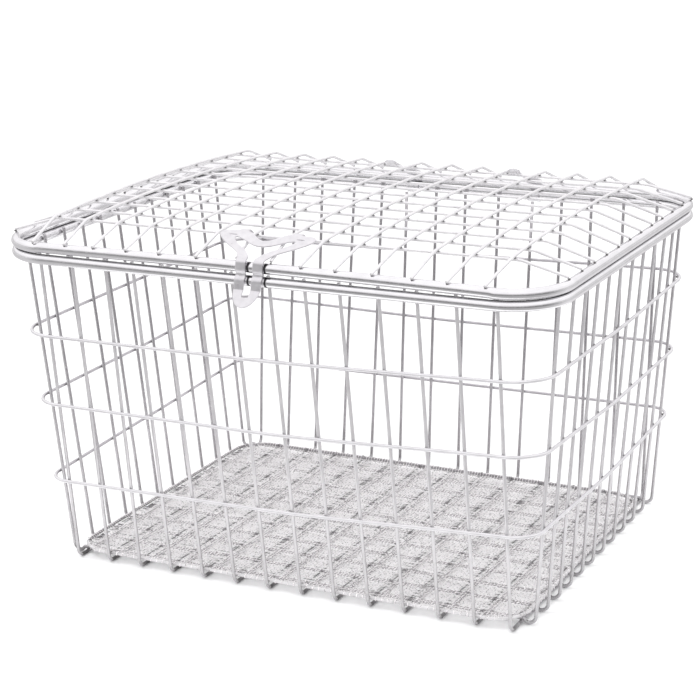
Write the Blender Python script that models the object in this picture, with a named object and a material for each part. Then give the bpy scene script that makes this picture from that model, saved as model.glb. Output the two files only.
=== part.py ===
"""Wire basket with a domed wire lid and a front snap clasp, for the back of a tricycle.

Metres, +Z up, clasp towards -Y, origin on the ground at the middle of the overall box.
Every number below named in millimetres is turned to metres by MM when the shapes are made.
"""

import math

import bmesh
import bpy
from mathutils import Vector

for _old in list(bpy.context.scene.objects):
    bpy.data.objects.remove(_old, do_unlink=True)

MM = 0.001

# ---------------------------------------------------------------- dimensions (mm)
X_SHIFT, Y_SHIFT = 3.0, 1.56    # bring the middle of the overall box onto the origin

RIM_R = 4.4             # rim rod radius
RIM_X, RIM_Y = -3.0, 1.9  # middle of the rims
RIM_HW, RIM_HD, RIM_CORNER = 246.4, 189.2, 46.2
RIM_LEFT, RIM_RIGHT = RIM_X - RIM_HW, RIM_X + RIM_HW
RIM_FRONT, RIM_BACK = RIM_Y - RIM_HD, RIM_Y + RIM_HD
BASKET_RIM_Z = 273.2
LID_RIM_Z = 282.35
LID_BOW = 1.7           # rise of the lid rim towards the middle of the front

WALL_R = 1.5            # wall, ring and floor frame wire radius
LID_R = 1.3             # lid wire radius
GAP = 0.3               # running gap kept between neighbouring pieces

N_FB, N_LR = 14, 12     # front-to-back and side-to-side wires
FB_BOTTOM_PITCH, FB_BOTTOM_SHIFT = 31.4, 0.5
FB_FRONT_PITCH, FB_FRONT_SHIFT = 31.4, -7.5  # at the front rim
FB_BACK_PITCH, FB_BACK_SHIFT = 31.0, 2.9  # at the back rim
LR_LEFT_LOW_PITCH, LR_LEFT_LOW_SHIFT = 27.1, -3.2
LR_LEFT_TOP_PITCH, LR_LEFT_TOP_SHIFT = 28.2, 2.2
LR_RIGHT_LOW_PITCH, LR_RIGHT_LOW_SHIFT = 26.5, 2.1
LR_RIGHT_TOP_PITCH, LR_RIGHT_TOP_SHIFT = 27.9, 9.1
FRONT_UNEVEN = (3, 3, 4, -1, -4, -4, -3, -1, -1, -2, 0, 1, 2, 4)  # the tops are not quite evenly spaced
BACK_UNEVEN = (-4, 1, 0, 4, 3, -2, -2, -3, 0, 3, 1, -1, -1, 0)
RIGHT_UNEVEN = (-2, 1.4, 0, 0, -1, -1, 1, 1, 3, 2, -3, -1.4)
WALL_TOP_Z = 277.2
TRIMMED_TOP_Z = BASKET_RIM_Z - 5.1   # back wires cut short under the hinge straps
TAPER_Z = 273.2
# left, right, front, back of the walls, wire centres
WALLS_LOW = (-216.5, 217.0, -165.6, 158.5)
WALLS_HIGH = (RIM_LEFT + RIM_R + WALL_R + GAP, RIM_RIGHT - RIM_R - WALL_R - GAP,
              RIM_FRONT + RIM_R + WALL_R + GAP, RIM_BACK - RIM_R - WALL_R - GAP)
FOOT_BEND = 6.5
FB_FLOOR_Z = 1.5
LR_FLOOR_Z = 4.8
LR_DIP_X, LR_DIP_RUN = 206.6, 3.2

RING_OFFSET = 2 * WALL_R + GAP
# name, corner radius, heights at the middle of the right side, then anticlockwise at each corner and side:
# back right, back, back left, left, front left, front, front right
RINGS = (("ring_upper", 33.0, (211.5, 216.0, 212.0, 208.5, 206.0, 204.6, 206.0, 213.5)),
         ("ring_middle", 27.0, (146.0, 149.0, 147.5, 151.0, 145.0, 143.5, 143.5, 152.5)),
         ("ring_lower", 21.0, (81.0, 87.5, 87.0, 86.5, 79.0, 73.0, 75.5, 85.5)))
RING_STEPS = 4          # stretches along each half side of a ring

FRAME_HW, FRAME_FRONT, FRAME_BACK = 208.5, -162.0, 142.0
FRAME_Z, FRAME_CORNER = 8.1, 28.0
MESH_T, MESH_Z = 1.6, 7.5
MESH_GAP = 0.3

LID_FB_SHIFT = -2.0
LID_FB_END_PITCH, LID_FB_FRONT_PITCH, LID_FB_BACK_PITCH = 30.75, 31.5, 30.9
LID_END_Z = LID_RIM_Z + RIM_R + LID_R + GAP
# sideways set of each front-to-back lid wire on the rims; those set at 0 stay clear of the clasp and the straps
LID_FRONT_SET = (-6, -6, -9.3, -8.7, -8.5, -4.7, 0, 0, -3.6, -4.8, -4.1, -1.3, -3.3, -3.3)
LID_BACK_SET = (4, 4, 4, 4, 4, 0, 4, 4, 4, 0, 4, 4, 4, 4)
LID_FRONT_OVER, LID_BACK_OVER = (3.6, 1.0), (2.0, 0.3)   # how far those ends reach past the top of the rim, and down
LID_FRONT_Y, LID_BACK_Y = -158.5, 158.0
LID_SHOULDER_Z, LID_CROWN = 302.6, 5.4
LID_BEND = 9.0
LID_LR_PITCH, LID_LR_SHIFT = 26.9, -3.9
LID_LR_END_PITCH, LID_LR_LEFT_SHIFT, LID_LR_RIGHT_SHIFT = 27.8, -3.9, 8.7
LID_LR_DROP = 2 * LID_R + GAP
LID_SIDE_X = 207.5

SHEET = 1.2             # clasp and hinge strap thickness
CLASP_X = -2.0
CLASP_LEAN = 0.14       # the clasp hangs a little askew below its knee
CLASP_STRAP_HALF, CLASP_WINDOW_HALF = 12.0, 3.2
CLASP_EARS = (19.5, 28.0)   # the two curls round the lid's front cross wire, from the middle
HINGE_STRAPS = (-40.5, 83.0)
HINGE_STRAP_HALF = 6.0
EYE_INNER_R = 4.9

HINGE_AXIS = (RIM_BACK, BASKET_RIM_Z)   # (y, z) of the lid hinge

# ---------------------------------------------------------------- scene helpers
COLLECTION = bpy.data.collections.new("wire_basket")
CUTTERS = bpy.data.collections.new("cutters")
bpy.context.scene.collection.children.link(COLLECTION)
bpy.context.scene.collection.children.link(CUTTERS)
CUTTERS.hide_render = True


def steel(name, tone, rough=0.28):
    material = bpy.data.materials.new(name)
    material.use_nodes = True
    shader = material.node_tree.nodes["Principled BSDF"]
    shader.inputs["Base Color"].default_value = (tone, tone, tone * 1.01, 1.0)
    shader.inputs["Metallic"].default_value = 1.0
    shader.inputs["Roughness"].default_value = rough
    material.diffuse_color = (tone, tone, tone, 1.0)
    return material


def place(obj, origin, tone):
    """Puts the finished object in the part's collection, on its own origin in world space."""
    obj.location = Vector((origin[0] + X_SHIFT, origin[1] + Y_SHIFT, origin[2])) * MM
    obj.data.materials.clear()
    obj.data.materials.append(steel(obj.name, tone))
    return obj


def tube_curve(name, points, radius, cyclic, sides, origin):
    curve = bpy.data.curves.new(name, "CURVE")
    curve.dimensions = "3D"
    curve.twist_mode = "MINIMUM"
    curve.bevel_depth = radius * MM
    curve.bevel_resolution = (sides - 4) // 2
    curve.use_fill_caps = True
    spline = curve.splines.new("POLY")
    spline.points.add(len(points) - 1)
    for slot, (x, y, z) in zip(spline.points, points):
        slot.co = ((x - origin[0]) * MM, (y - origin[1]) * MM, (z - origin[2]) * MM, 1.0)
    spline.use_cyclic_u = cyclic
    return bpy.data.objects.new(name, curve)


def wire(name, points, radius, tone, cyclic=False, sides=6, origin=(0, 0, 0)):
    obj = tube_curve(name, points, radius, cyclic, sides, origin)
    COLLECTION.objects.link(obj)
    return place(obj, origin, tone)


def rounded_path(corners, radii, step=18.0):
    """An open polyline through corners, each inner corner rounded with its own radius."""
    corners = [Vector(c) for c in corners]
    out = [corners[0]]
    for before, corner, after, radius in zip(corners, corners[1:], corners[2:], radii):
        a, b = (before - corner).normalized(), (after - corner).normalized()
        turn = math.pi - a.angle(b)
        if radius <= 0 or turn < 1e-4:
            out.append(corner)
            continue
        reach = radius * math.tan(turn / 2)
        centre = corner + (a + b).normalized() * (radius / math.cos(turn / 2))
        start, end = corner + a * reach - centre, corner + b * reach - centre
        steps = max(2, round(math.degrees(turn) / step))
        for k in range(steps + 1):
            s = turn * k / steps
            out.append(centre + (start * math.sin(turn - s) + end * math.sin(s)) / math.sin(turn))
    out.append(corners[-1])
    return [tuple(p) for p in out]


def rounded_rectangle(hw, hd, corner, steps=6):
    """(x, y) round the outline, anticlockwise from the right side's lower end."""
    points = []
    for k, (sx, sy) in enumerate(((1, 1), (-1, 1), (-1, -1), (1, -1))):
        for n in range(steps + 1):
            angle = math.radians(90 * k + 90 * n / steps)
            points.append((sx * (hw - corner) + corner * math.cos(angle), sy * (hd - corner) + corner * math.sin(angle)))
    return points


def walls(z, outward=0.0):
    """Left, right, front and back of the wall wires' centres at this height, moved outward."""
    t = (z - FB_FLOOR_Z) / (TAPER_Z - FB_FLOOR_Z)
    left, right, front, back = (low + (high - low) * t for low, high in zip(WALLS_LOW, WALLS_HIGH))
    return left - outward, right + outward, front - outward, back + outward


def corner_shift(offset, half):
    """How far a wire standing this far from the middle of a side is set in by the rims' rounded corners."""
    inner = RIM_CORNER - RIM_R - WALL_R - GAP
    over = offset - (half - RIM_CORNER)
    return inner - math.sqrt(inner * inner - over * over) if over > 0 else 0.0


# ---------------------------------------------------------------- basket body
def basket_wires():
    left, right, front, back = walls(WALL_TOP_Z)
    low_left, low_right, low_front, low_back = WALLS_LOW
    for n in range(N_FB):
        k = n - (N_FB - 1) / 2
        x0 = k * FB_BOTTOM_PITCH + FB_BOTTOM_SHIFT
        xf = k * FB_FRONT_PITCH + FB_FRONT_SHIFT + FRONT_UNEVEN[n]
        xb = k * FB_BACK_PITCH + FB_BACK_SHIFT + BACK_UNEVEN[n]
        trimmed = any(abs(xb - x) < HINGE_STRAP_HALF + WALL_R + GAP for x in HINGE_STRAPS)
        top_z = TRIMMED_TOP_Z if trimmed else WALL_TOP_Z
        yb = walls(top_z)[3] - corner_shift(abs(xb - RIM_X), RIM_HW)
        corners = [(xf, front + corner_shift(abs(xf - RIM_X), RIM_HW), WALL_TOP_Z), (x0, low_front, FB_FLOOR_Z),
                   (x0, low_back, FB_FLOOR_Z), (xb, yb, top_z)]
        wire(f"wall_wire_fb_{n + 1:02d}", rounded_path(corners, (FOOT_BEND, FOOT_BEND)), WALL_R, 0.62)
    for n in range(N_LR):
        k = n - (N_LR - 1) / 2
        left_low = k * LR_LEFT_LOW_PITCH + LR_LEFT_LOW_SHIFT
        left_top = k * LR_LEFT_TOP_PITCH + LR_LEFT_TOP_SHIFT
        right_low = k * LR_RIGHT_LOW_PITCH + LR_RIGHT_LOW_SHIFT
        right_top = k * LR_RIGHT_TOP_PITCH + LR_RIGHT_TOP_SHIFT + RIGHT_UNEVEN[n]
        corners = [(left + corner_shift(abs(left_top - RIM_Y), RIM_HD), left_top, WALL_TOP_Z)]
        for x, z in ((low_left, FB_FLOOR_Z), (-LR_DIP_X - LR_DIP_RUN, FB_FLOOR_Z), (-LR_DIP_X, LR_FLOOR_Z),
                     (LR_DIP_X, LR_FLOOR_Z), (LR_DIP_X + LR_DIP_RUN, FB_FLOOR_Z), (low_right, FB_FLOOR_Z)):
            corners.append((x, left_low + (right_low - left_low) * (x - low_left) / (low_right - low_left), z))
        corners.append((right - corner_shift(abs(right_top - RIM_Y), RIM_HD), right_top, WALL_TOP_Z))
        wire(f"wall_wire_lr_{n + 1:02d}", rounded_path(corners, (FOOT_BEND, 0, 0, 0, 0, FOOT_BEND)), WALL_R, 0.60)


def bow(x, y):
    """Rise of the lid rim at this place: only its front side is bowed."""
    return LID_BOW * max(0.0, 1 - ((x - RIM_X) / RIM_HW) ** 2) if y < RIM_Y else 0.0


def rims():
    loop = [(RIM_X + x, RIM_Y + y) for x, y in rounded_rectangle(RIM_HW, RIM_HD, RIM_CORNER, 7)]
    wire("basket_rim", [(x, y, BASKET_RIM_Z) for x, y in loop], RIM_R, 0.75, True, 8)
    front = [n for n, (x, y) in enumerate(loop) if y < RIM_FRONT + 0.01]
    first, last = loop[min(front)], loop[max(front)]
    lid = []
    for n, (x, y) in enumerate(loop):
        lid.append((x, y, LID_RIM_Z + bow(x, y)))
        if n == min(front):
            for k in range(1, 12):
                xk = first[0] + (last[0] - first[0]) * k / 12
                lid.append((xk, y, LID_RIM_Z + bow(xk, y)))
    wire("lid_rim", lid, RIM_R, 0.78, True, 8, LID_ORIGIN)


def ring_height(heights, x, y):
    """Height of a ring at (x, y), given from -1 to 1: straight between its corners and the middles of its sides."""
    if abs(x) >= abs(y):
        turn = y / x if x > 0 else 4 + y / x
    else:
        turn = 2 - x / y if y > 0 else 6 - x / y
    k = math.floor(turn)
    return heights[k % 8] + (heights[(k + 1) % 8] - heights[k % 8]) * (turn - k)


def rings():
    for name, corner, heights in RINGS:
        left, right, front, back = walls(sum(heights) / 8, RING_OFFSET)
        hw, hd = (right - left) / 2, (back - front) / 2
        outline = rounded_rectangle(hw, hd, corner)
        points = []
        for n, (x, y) in enumerate(outline):
            steps = 2 * RING_STEPS if n % 7 == 6 else 1      # the long stretch after each corner's last point
            x1, y1 = outline[(n + 1) % len(outline)]
            for k in range(steps):
                u, v = x + (x1 - x) * k / steps, y + (y1 - y) * k / steps
                z = ring_height(heights, u / hw, v / hd)
                l, r, f, b = walls(z, RING_OFFSET)
                points.append(((l + r) / 2 + (r - l) / 2 * u / hw, (f + b) / 2 + (b - f) / 2 * v / hd, z))
        wire(name, points, WALL_R, 0.66, True)


def floor_pieces():
    middle, depth = (FRAME_FRONT + FRAME_BACK) / 2, (FRAME_BACK - FRAME_FRONT) / 2
    loop = rounded_rectangle(FRAME_HW, depth, FRAME_CORNER)
    wire("floor_frame", [(x, y + middle, FRAME_Z) for x, y in loop], WALL_R, 0.7, True)
    inset = WALL_R + MESH_GAP
    curve = bpy.data.curves.new("mesh_floor", "CURVE")
    curve.dimensions = "2D"
    curve.fill_mode = "BOTH"
    curve.extrude = MESH_T / 2 * MM
    outline = rounded_rectangle(FRAME_HW - inset, depth - inset, FRAME_CORNER - inset, 4)
    spline = curve.splines.new("POLY")
    spline.points.add(len(outline) - 1)
    for slot, (x, y) in zip(spline.points, outline):
        slot.co = (x * MM, y * MM, 0.0, 1.0)
    spline.use_cyclic_u = True
    obj = bpy.data.objects.new("mesh_floor", curve)
    COLLECTION.objects.link(obj)
    place(obj, (0, middle, MESH_Z), 0.55)


# ---------------------------------------------------------------- lid body
LID_ORIGIN = (0, HINGE_AXIS[0], HINGE_AXIS[1])


def lid_height(y):
    """Centre height of the front-to-back lid wires over the domed top."""
    middle, half = (LID_FRONT_Y + LID_BACK_Y) / 2, (LID_BACK_Y - LID_FRONT_Y) / 2
    return LID_SHOULDER_Z + LID_CROWN * (1 - ((y - middle) / half) ** 2)


def lid_fb_path(k):
    ys = [LID_FRONT_Y + (LID_BACK_Y - LID_FRONT_Y) * n / 6 for n in range(7)]
    xs = [LID_FB_SHIFT + k * (LID_FB_FRONT_PITCH + (LID_FB_BACK_PITCH - LID_FB_FRONT_PITCH) * n / 6) for n in range(7)]
    n_wire = round(k + (N_FB - 1) / 2)
    end = LID_FB_SHIFT + k * LID_FB_END_PITCH + LID_FRONT_SET[n_wire]
    over, down = LID_FRONT_OVER if LID_FRONT_SET[n_wire] else (0, 0)
    corners = [(end, RIM_FRONT - over, LID_END_Z - down + bow(end, RIM_FRONT))]
    corners += [(x, y, lid_height(y)) for x, y in zip(xs, ys)]
    end = LID_FB_SHIFT + k * LID_FB_END_PITCH + LID_BACK_SET[n_wire]
    over, down = LID_BACK_OVER if LID_BACK_SET[n_wire] else (0, 0)
    corners += [(end, RIM_BACK + over, LID_END_Z - down)]
    return rounded_path(corners, [LID_BEND] + [0] * 5 + [LID_BEND])


def lid_lr_path(n):
    k = n - (N_LR - 1) / 2
    y, y_end = k * LID_LR_PITCH + LID_LR_SHIFT, k * LID_LR_END_PITCH
    z = lid_height(y) - LID_LR_DROP
    corners = [(RIM_LEFT, y_end + LID_LR_LEFT_SHIFT, LID_END_Z), (-LID_SIDE_X, y, z),
               (LID_SIDE_X, y, z), (RIM_RIGHT, y_end + LID_LR_RIGHT_SHIFT, LID_END_Z)]
    return rounded_path(corners, (LID_BEND, LID_BEND), 9.0)


def lid_wires():
    for n in range(N_FB):
        wire(f"lid_wire_fb_{n + 1:02d}", lid_fb_path(n - (N_FB - 1) / 2), LID_R, 0.74, origin=LID_ORIGIN)
    for n in range(N_LR - 1):
        wire(f"lid_wire_lr_{n + 1:02d}", lid_lr_path(n), LID_R, 0.70, origin=LID_ORIGIN)


# ---------------------------------------------------------------- bent sheet
def arc(centre, radius, start, end, step=15.0):
    """Points on a circle in the (y, z) plane. Angles in degrees from +y towards +z."""
    count = max(2, round(abs(end - start) / step))
    return [
        (centre[0] + radius * math.cos(math.radians(start + (end - start) * k / count)),
         centre[1] + radius * math.sin(math.radians(start + (end - start) * k / count)))
        for k in range(count + 1)
    ]


def mitred(path, offset):
    """The path moved sideways by offset, to the left of its direction, with mitred corners."""
    out = []
    for n, point in enumerate(path):
        sides = []
        for a, b in ((n - 1, n), (n, n + 1)):
            if 0 <= a and b < len(path):
                d = (Vector(path[b]) - Vector(path[a])).normalized()
                sides.append(Vector((-d.y, d.x)))
        normal = sum(sides, Vector((0, 0))).normalized()
        out.append(Vector(point) + normal * (offset / normal.dot(sides[0])))
    return out


def strip_mesh(name, path, half, x, origin):
    """A strip of sheet, bent along path in the (y, z) plane, of one width in x."""
    outline = mitred(path, SHEET / 2) + mitred(path, -SHEET / 2)[::-1]
    bm = bmesh.new()
    ends = []
    for side in (x - half, x + half):
        ends.append([bm.verts.new(Vector((side - origin[0], p.x - origin[1], p.y - origin[2])) * MM) for p in outline])
    left, right = ends
    count, n = len(outline), len(path)
    for k in range(count):
        bm.faces.new((left[k], left[(k + 1) % count], right[(k + 1) % count], right[k]))
    for k in range(n - 1):
        for ring in ends:
            bm.faces.new((ring[k], ring[k + 1], ring[count - 2 - k], ring[count - 1 - k]))
    bmesh.ops.recalc_face_normals(bm, faces=bm.faces)
    mesh = bpy.data.meshes.new(name)
    bm.to_mesh(mesh)
    bm.free()
    return bpy.data.objects.new(name, mesh)


def union(target, tool, name):
    tool.hide_render = True
    tool.display_type = "WIRE"
    CUTTERS.objects.link(tool)
    modifier = target.modifiers.new(name, "BOOLEAN")
    modifier.operation = "UNION"
    modifier.solver = "EXACT"
    modifier.object = tool


def mesh_from_curve(obj):
    """Turns a curve object that is linked to a collection into a mesh object of the same name."""
    bpy.context.view_layer.update()
    graph = bpy.context.evaluated_depsgraph_get()
    mesh = bpy.data.meshes.new_from_object(obj.evaluated_get(graph))
    bm = bmesh.new()
    bm.from_mesh(mesh)
    bmesh.ops.remove_doubles(bm, verts=bm.verts, dist=1e-7)
    bmesh.ops.recalc_face_normals(bm, faces=bm.faces)
    bm.to_mesh(mesh)
    bm.free()
    name, matrix = obj.name, obj.matrix_world.copy()
    bpy.data.objects.remove(obj, do_unlink=True)
    made = bpy.data.objects.new(name, mesh)
    made.matrix_world = matrix
    COLLECTION.objects.link(made)
    return made


# ---------------------------------------------------------------- lid hinge straps
def hinge_path():
    """Upturned tab, over the rear cross wire, down the lid's back slope, round behind both rims."""
    k = N_LR - 1 - (N_LR - 1) / 2
    y, z = k * LID_LR_PITCH + LID_LR_SHIFT, lid_height(LID_BACK_Y) - LID_LR_DROP
    mid = LID_R + SHEET / 2 - 0.35            # the strap grips the wire
    over = RIM_R + GAP + SHEET / 2
    eye = EYE_INNER_R + SHEET / 2
    lid_top = (RIM_BACK, LID_RIM_Z)
    path = [(y - 4.6, z + 7.4), (y - 3.9, z + 4.9), (y - 2.4, z + 2.6), (y, z + mid), (y + 3.0, z + mid - 0.4)]
    path += arc(lid_top, over, 62, 0)
    path += arc((RIM_BACK, BASKET_RIM_Z), eye, 0, -225)
    return path


def hinge_bar():
    body = wire("hinge_bar", lid_lr_path(N_LR - 1), LID_R, 0.72, origin=LID_ORIGIN)
    tone = body.data.materials[0]
    body = mesh_from_curve(body)
    body.data.materials.clear()
    body.data.materials.append(tone)
    for n, x in enumerate(HINGE_STRAPS):
        tool = strip_mesh(f"hinge_strap_tool_{n + 1}", hinge_path(), HINGE_STRAP_HALF, x, LID_ORIGIN)
        tool.location = body.location
        union(body, tool, f"strap_{n + 1}")


# ---------------------------------------------------------------- clasp
T1_Y = -(N_LR - 1) / 2 * LID_LR_PITCH + LID_LR_SHIFT
T1_Z = lid_height(T1_Y) - LID_LR_DROP
CLASP_ORIGIN = (CLASP_X, T1_Y, T1_Z)


def clasp_profile():
    """(y, z) of the sheet's middle, from the tip of the finger tab up to the curl round the lid's front cross wire."""
    around = RIM_R + GAP + SHEET / 2
    lid_z = LID_RIM_Z + bow(CLASP_X, RIM_FRONT)
    end_z = LID_END_Z + bow(CLASP_X, RIM_FRONT)
    face = RIM_FRONT - around
    rise = math.atan2(LID_SHOULDER_Z - end_z, LID_FRONT_Y - RIM_FRONT)
    lift = LID_R + GAP + SHEET / 2
    normal = (-math.sin(rise), math.cos(rise))
    foot = (RIM_FRONT + normal[0] * lift, end_z + normal[1] * lift)
    knee = (face, foot[1] - (foot[0] - face) * math.tan(rise))
    shoulder = (LID_FRONT_Y - 1.0, LID_SHOULDER_Z + lift + 0.15)
    flare = math.radians(30)
    crease_z, tab = BASKET_RIM_Z - 6.6, 14.9
    crease_y = RIM_FRONT - (RIM_R + 0.05 + SHEET / 2)
    path = [(crease_y - tab * math.sin(flare), crease_z - tab * math.cos(flare)), (crease_y, crease_z)]
    path += arc((RIM_FRONT, BASKET_RIM_Z), around, 195, 148)
    path += rounded_valley((RIM_FRONT, lid_z), around)
    path += arc((RIM_FRONT, lid_z), around, 212, 180)
    bend = rounded_path([(0, *path[-1]), (0, *knee), (0, *shoulder), (0, T1_Y - 3.0, lid_height(T1_Y) + lift)], (3.4, 8.0))
    path += [(p[1], p[2]) for p in bend[1:]]
    curl = LID_R + GAP + SHEET / 2
    path += arc((T1_Y, T1_Z), curl, 53, -205, 24.0)
    return path, foot


def rounded_valley(centre, around):
    """The dip of the straps between the two rims: one point where the two flanks meet, cut back by a short flat."""
    angle = math.radians(32)
    middle_z = (centre[1] + BASKET_RIM_Z) / 2
    y = centre[0] - around * math.cos(angle)
    z = centre[1] - around * math.sin(angle)
    run = (z - middle_z) * math.tan(angle)
    return [(y + run * 0.55, middle_z - (z - middle_z) * 0.45), (y + run * 0.55, middle_z + (z - middle_z) * 0.45)]


def lengths(path):
    out = [0.0]
    for a, b in zip(path, path[1:]):
        out.append(out[-1] + math.dist(a, b))
    return out


def clasp_outlines(crease, start, total):
    """Outer and inner outline of the flat blank as (x, distance along it). Distances on the slope count from start."""
    half_w, window = CLASP_STRAP_HALF, CLASP_WINDOW_HALF
    ear_in, ear_out = CLASP_EARS
    tip = crease + 3.0
    right = [(half_w * math.sin(math.radians(a)), tip - tip * math.cos(math.radians(a))) for a in (0, 15, 30, 45, 60, 75, 90)]
    slope = ((half_w, -3.5), (13.2, -0.5), (14.6, 1.8), (17.0, 5.0), (21.0, 8.2), (26.5, 11.8), (31.5, 15.2), (36.5, 19.2),
             (40.6, 23.0), (42.6, 26.4), (42.2, 29.4), (39.8, 31.2), (36.5, 31.9), (ear_out, 31.9))
    right += [(x, start + s) for x, s in slope]
    right += [(ear_out, total), (ear_in, total)]
    right += [(x, start + s) for x, s in ((ear_in, 31.8), (17.0, 31.4), (13.6, 29.4), (10.0, 26.2), (6.2, 23.3), (2.8, 21.5), (0.0, 21.0))]
    hole = [(0.0, crease - 5.9), (window, crease - 5.3)]
    hole += [(x, start + s) for x, s in ((window, -3.0), (3.8, -0.6), (5.4, 2.6), (8.2, 6.0), (11.8, 9.2), (16.2, 12.1), (20.6, 15.2),
                                         (24.4, 18.8), (27.2, 22.6), (26.2, 24.0), (22.4, 23.2), (15.2, 19.4), (10.2, 16.5), (5.2, 14.5), (0.0, 13.8))]
    return [half + [(-x, s) for x, s in half[-2:0:-1]] for half in (right, hole)]


def clasp():
    path, foot = clasp_profile()
    along = lengths(path)
    total = along[-1]
    crease = along[1]
    k = max(n for n, p in enumerate(path) if p[1] < foot[1] and p[0] < foot[0])
    start = along[k] + math.dist(path[k], foot)
    outer, inner = clasp_outlines(crease, start, total)

    curve = bpy.data.curves.new("clasp_blank", "CURVE")
    curve.dimensions = "2D"
    curve.fill_mode = "BOTH"
    curve.extrude = SHEET / 2 * MM
    for outline in (outer, inner):
        spline = curve.splines.new("POLY")
        spline.points.add(len(outline) - 1)
        for slot, (x, s) in zip(spline.points, outline):
            slot.co = (x * MM, s * MM, 0.0, 1.0)
        spline.use_cyclic_u = True
    blank = bpy.data.objects.new("clasp", curve)
    COLLECTION.objects.link(blank)
    obj = mesh_from_curve(blank)

    # fold lines, then every point is carried onto the bent middle line
    bm = bmesh.new()
    bm.from_mesh(obj.data)
    for s in along[1:-1]:
        bmesh.ops.bisect_plane(bm, geom=bm.verts[:] + bm.edges[:] + bm.faces[:], plane_co=(0, s * MM, 0), plane_no=(0, 1, 0), dist=1e-7)
    outer_side, inner_side = mitred(path, -SHEET / 2), mitred(path, SHEET / 2)
    for vert in bm.verts:
        s = min(max(vert.co.y / MM, 0.0), total)
        k = max(n for n in range(len(along) - 1) if along[n] <= s + 1e-6)
        t = min(max((s - along[k]) / (along[k + 1] - along[k]), 0.0), 1.0)
        side = inner_side if vert.co.z > 0 else outer_side
        p = side[k].lerp(side[k + 1], t)
        lean = CLASP_LEAN * min(0.0, s - start)
        vert.co = Vector((vert.co.x / MM + lean, p.x - CLASP_ORIGIN[1], p.y - CLASP_ORIGIN[2])) * MM
    bmesh.ops.remove_doubles(bm, verts=bm.verts, dist=1e-6)
    bmesh.ops.triangulate(bm, faces=bm.faces)
    bmesh.ops.recalc_face_normals(bm, faces=bm.faces)
    bm.to_mesh(obj.data)
    bm.free()
    place(obj, CLASP_ORIGIN, 0.58)


basket_wires()
rims()
rings()
floor_pieces()
lid_wires()
hinge_bar()
clasp()
bpy.context.view_layer.update()
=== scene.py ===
import math
import random

import bmesh
import bpy
import numpy as np
from mathutils import Matrix, Vector


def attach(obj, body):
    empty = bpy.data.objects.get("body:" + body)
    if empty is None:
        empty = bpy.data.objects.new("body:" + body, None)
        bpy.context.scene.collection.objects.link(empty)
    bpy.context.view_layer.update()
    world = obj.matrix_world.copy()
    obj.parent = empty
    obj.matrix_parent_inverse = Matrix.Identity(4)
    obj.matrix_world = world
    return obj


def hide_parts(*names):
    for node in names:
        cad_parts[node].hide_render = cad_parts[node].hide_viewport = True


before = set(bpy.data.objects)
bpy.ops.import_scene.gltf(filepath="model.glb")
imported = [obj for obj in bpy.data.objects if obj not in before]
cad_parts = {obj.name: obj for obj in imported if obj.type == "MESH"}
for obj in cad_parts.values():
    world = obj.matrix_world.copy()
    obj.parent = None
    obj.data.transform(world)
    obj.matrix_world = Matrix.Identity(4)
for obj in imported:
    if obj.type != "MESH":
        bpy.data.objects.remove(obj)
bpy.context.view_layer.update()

MM = 0.001
SHIFT = np.array([3.0, 1.56, 0.0])     # the part's own placing, mm

# ------------------------------------------------------------------ the part's dimensions (mm)
RIM_R = 4.38
RIM_X, RIM_Y = -3.0, 1.9
RIM_HW, RIM_HD, RIM_CORNER = 246.4, 189.2, 46.2
RIM_LEFT, RIM_RIGHT = RIM_X - RIM_HW, RIM_X + RIM_HW
RIM_FRONT, RIM_BACK = RIM_Y - RIM_HD, RIM_Y + RIM_HD
BASKET_RIM_Z = 273.2
LID_RIM_Z = 282.35
LID_BOW = 1.7
WALL_R = 1.5
LID_R = 1.3
GAP = 0.3
N_FB, N_LR = 14, 12
FB_BOTTOM_PITCH, FB_BOTTOM_SHIFT = 31.4, 0.5
FB_FRONT_PITCH, FB_FRONT_SHIFT = 31.4, -7.5
FB_BACK_PITCH, FB_BACK_SHIFT = 31.0, 2.9
LR_LEFT_LOW_PITCH, LR_LEFT_LOW_SHIFT = 27.1, -3.2
LR_LEFT_TOP_PITCH, LR_LEFT_TOP_SHIFT = 28.2, 2.2
LR_RIGHT_LOW_PITCH, LR_RIGHT_LOW_SHIFT = 26.5, 2.1
LR_RIGHT_TOP_PITCH, LR_RIGHT_TOP_SHIFT = 27.9, 9.1
FRONT_UNEVEN = (3, 3, 4, -1, -4, -4, -3, -1, -1, -2, 0, 1, 2, 4)
BACK_UNEVEN = (-4, 1, 0, 4, 3, -2, -2, -3, 0, 3, 1, -1, -1, 0)
RIGHT_UNEVEN = (-2, 1.4, 0, 0, -1, -1, 1, 1, 3, 2, -3, -1.4)
WALL_TOP_Z = 277.2
TRIMMED_TOP_Z = BASKET_RIM_Z - 5.1
TAPER_Z = 273.2
WALLS_LOW = (-216.5, 217.0, -165.6, 158.5)
WALLS_HIGH = (RIM_LEFT + RIM_R + WALL_R + GAP, RIM_RIGHT - RIM_R - WALL_R - GAP,
              RIM_FRONT + RIM_R + WALL_R + GAP, RIM_BACK - RIM_R - WALL_R - GAP)
FOOT_BEND = 6.5
FB_FLOOR_Z = 1.5
LR_FLOOR_Z = 4.8
LR_DIP_X, LR_DIP_RUN = 206.6, 3.2
RING_OFFSET = 2 * WALL_R + GAP
RINGS = (("ring_upper", 33.0, (211.5, 216.0, 212.0, 208.5, 206.0, 204.6, 206.0, 213.5)),
         ("ring_middle", 27.0, (146.0, 149.0, 147.5, 151.0, 145.0, 143.5, 143.5, 152.5)),
         ("ring_lower", 21.0, (81.0, 87.5, 87.0, 86.5, 79.0, 73.0, 75.5, 85.5)))
FRAME_HW, FRAME_FRONT, FRAME_BACK = 208.5, -162.0, 142.0
FRAME_Z, FRAME_CORNER = 8.1, 28.0
MESH_Z = 7.5
LID_FB_SHIFT = -2.0
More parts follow.
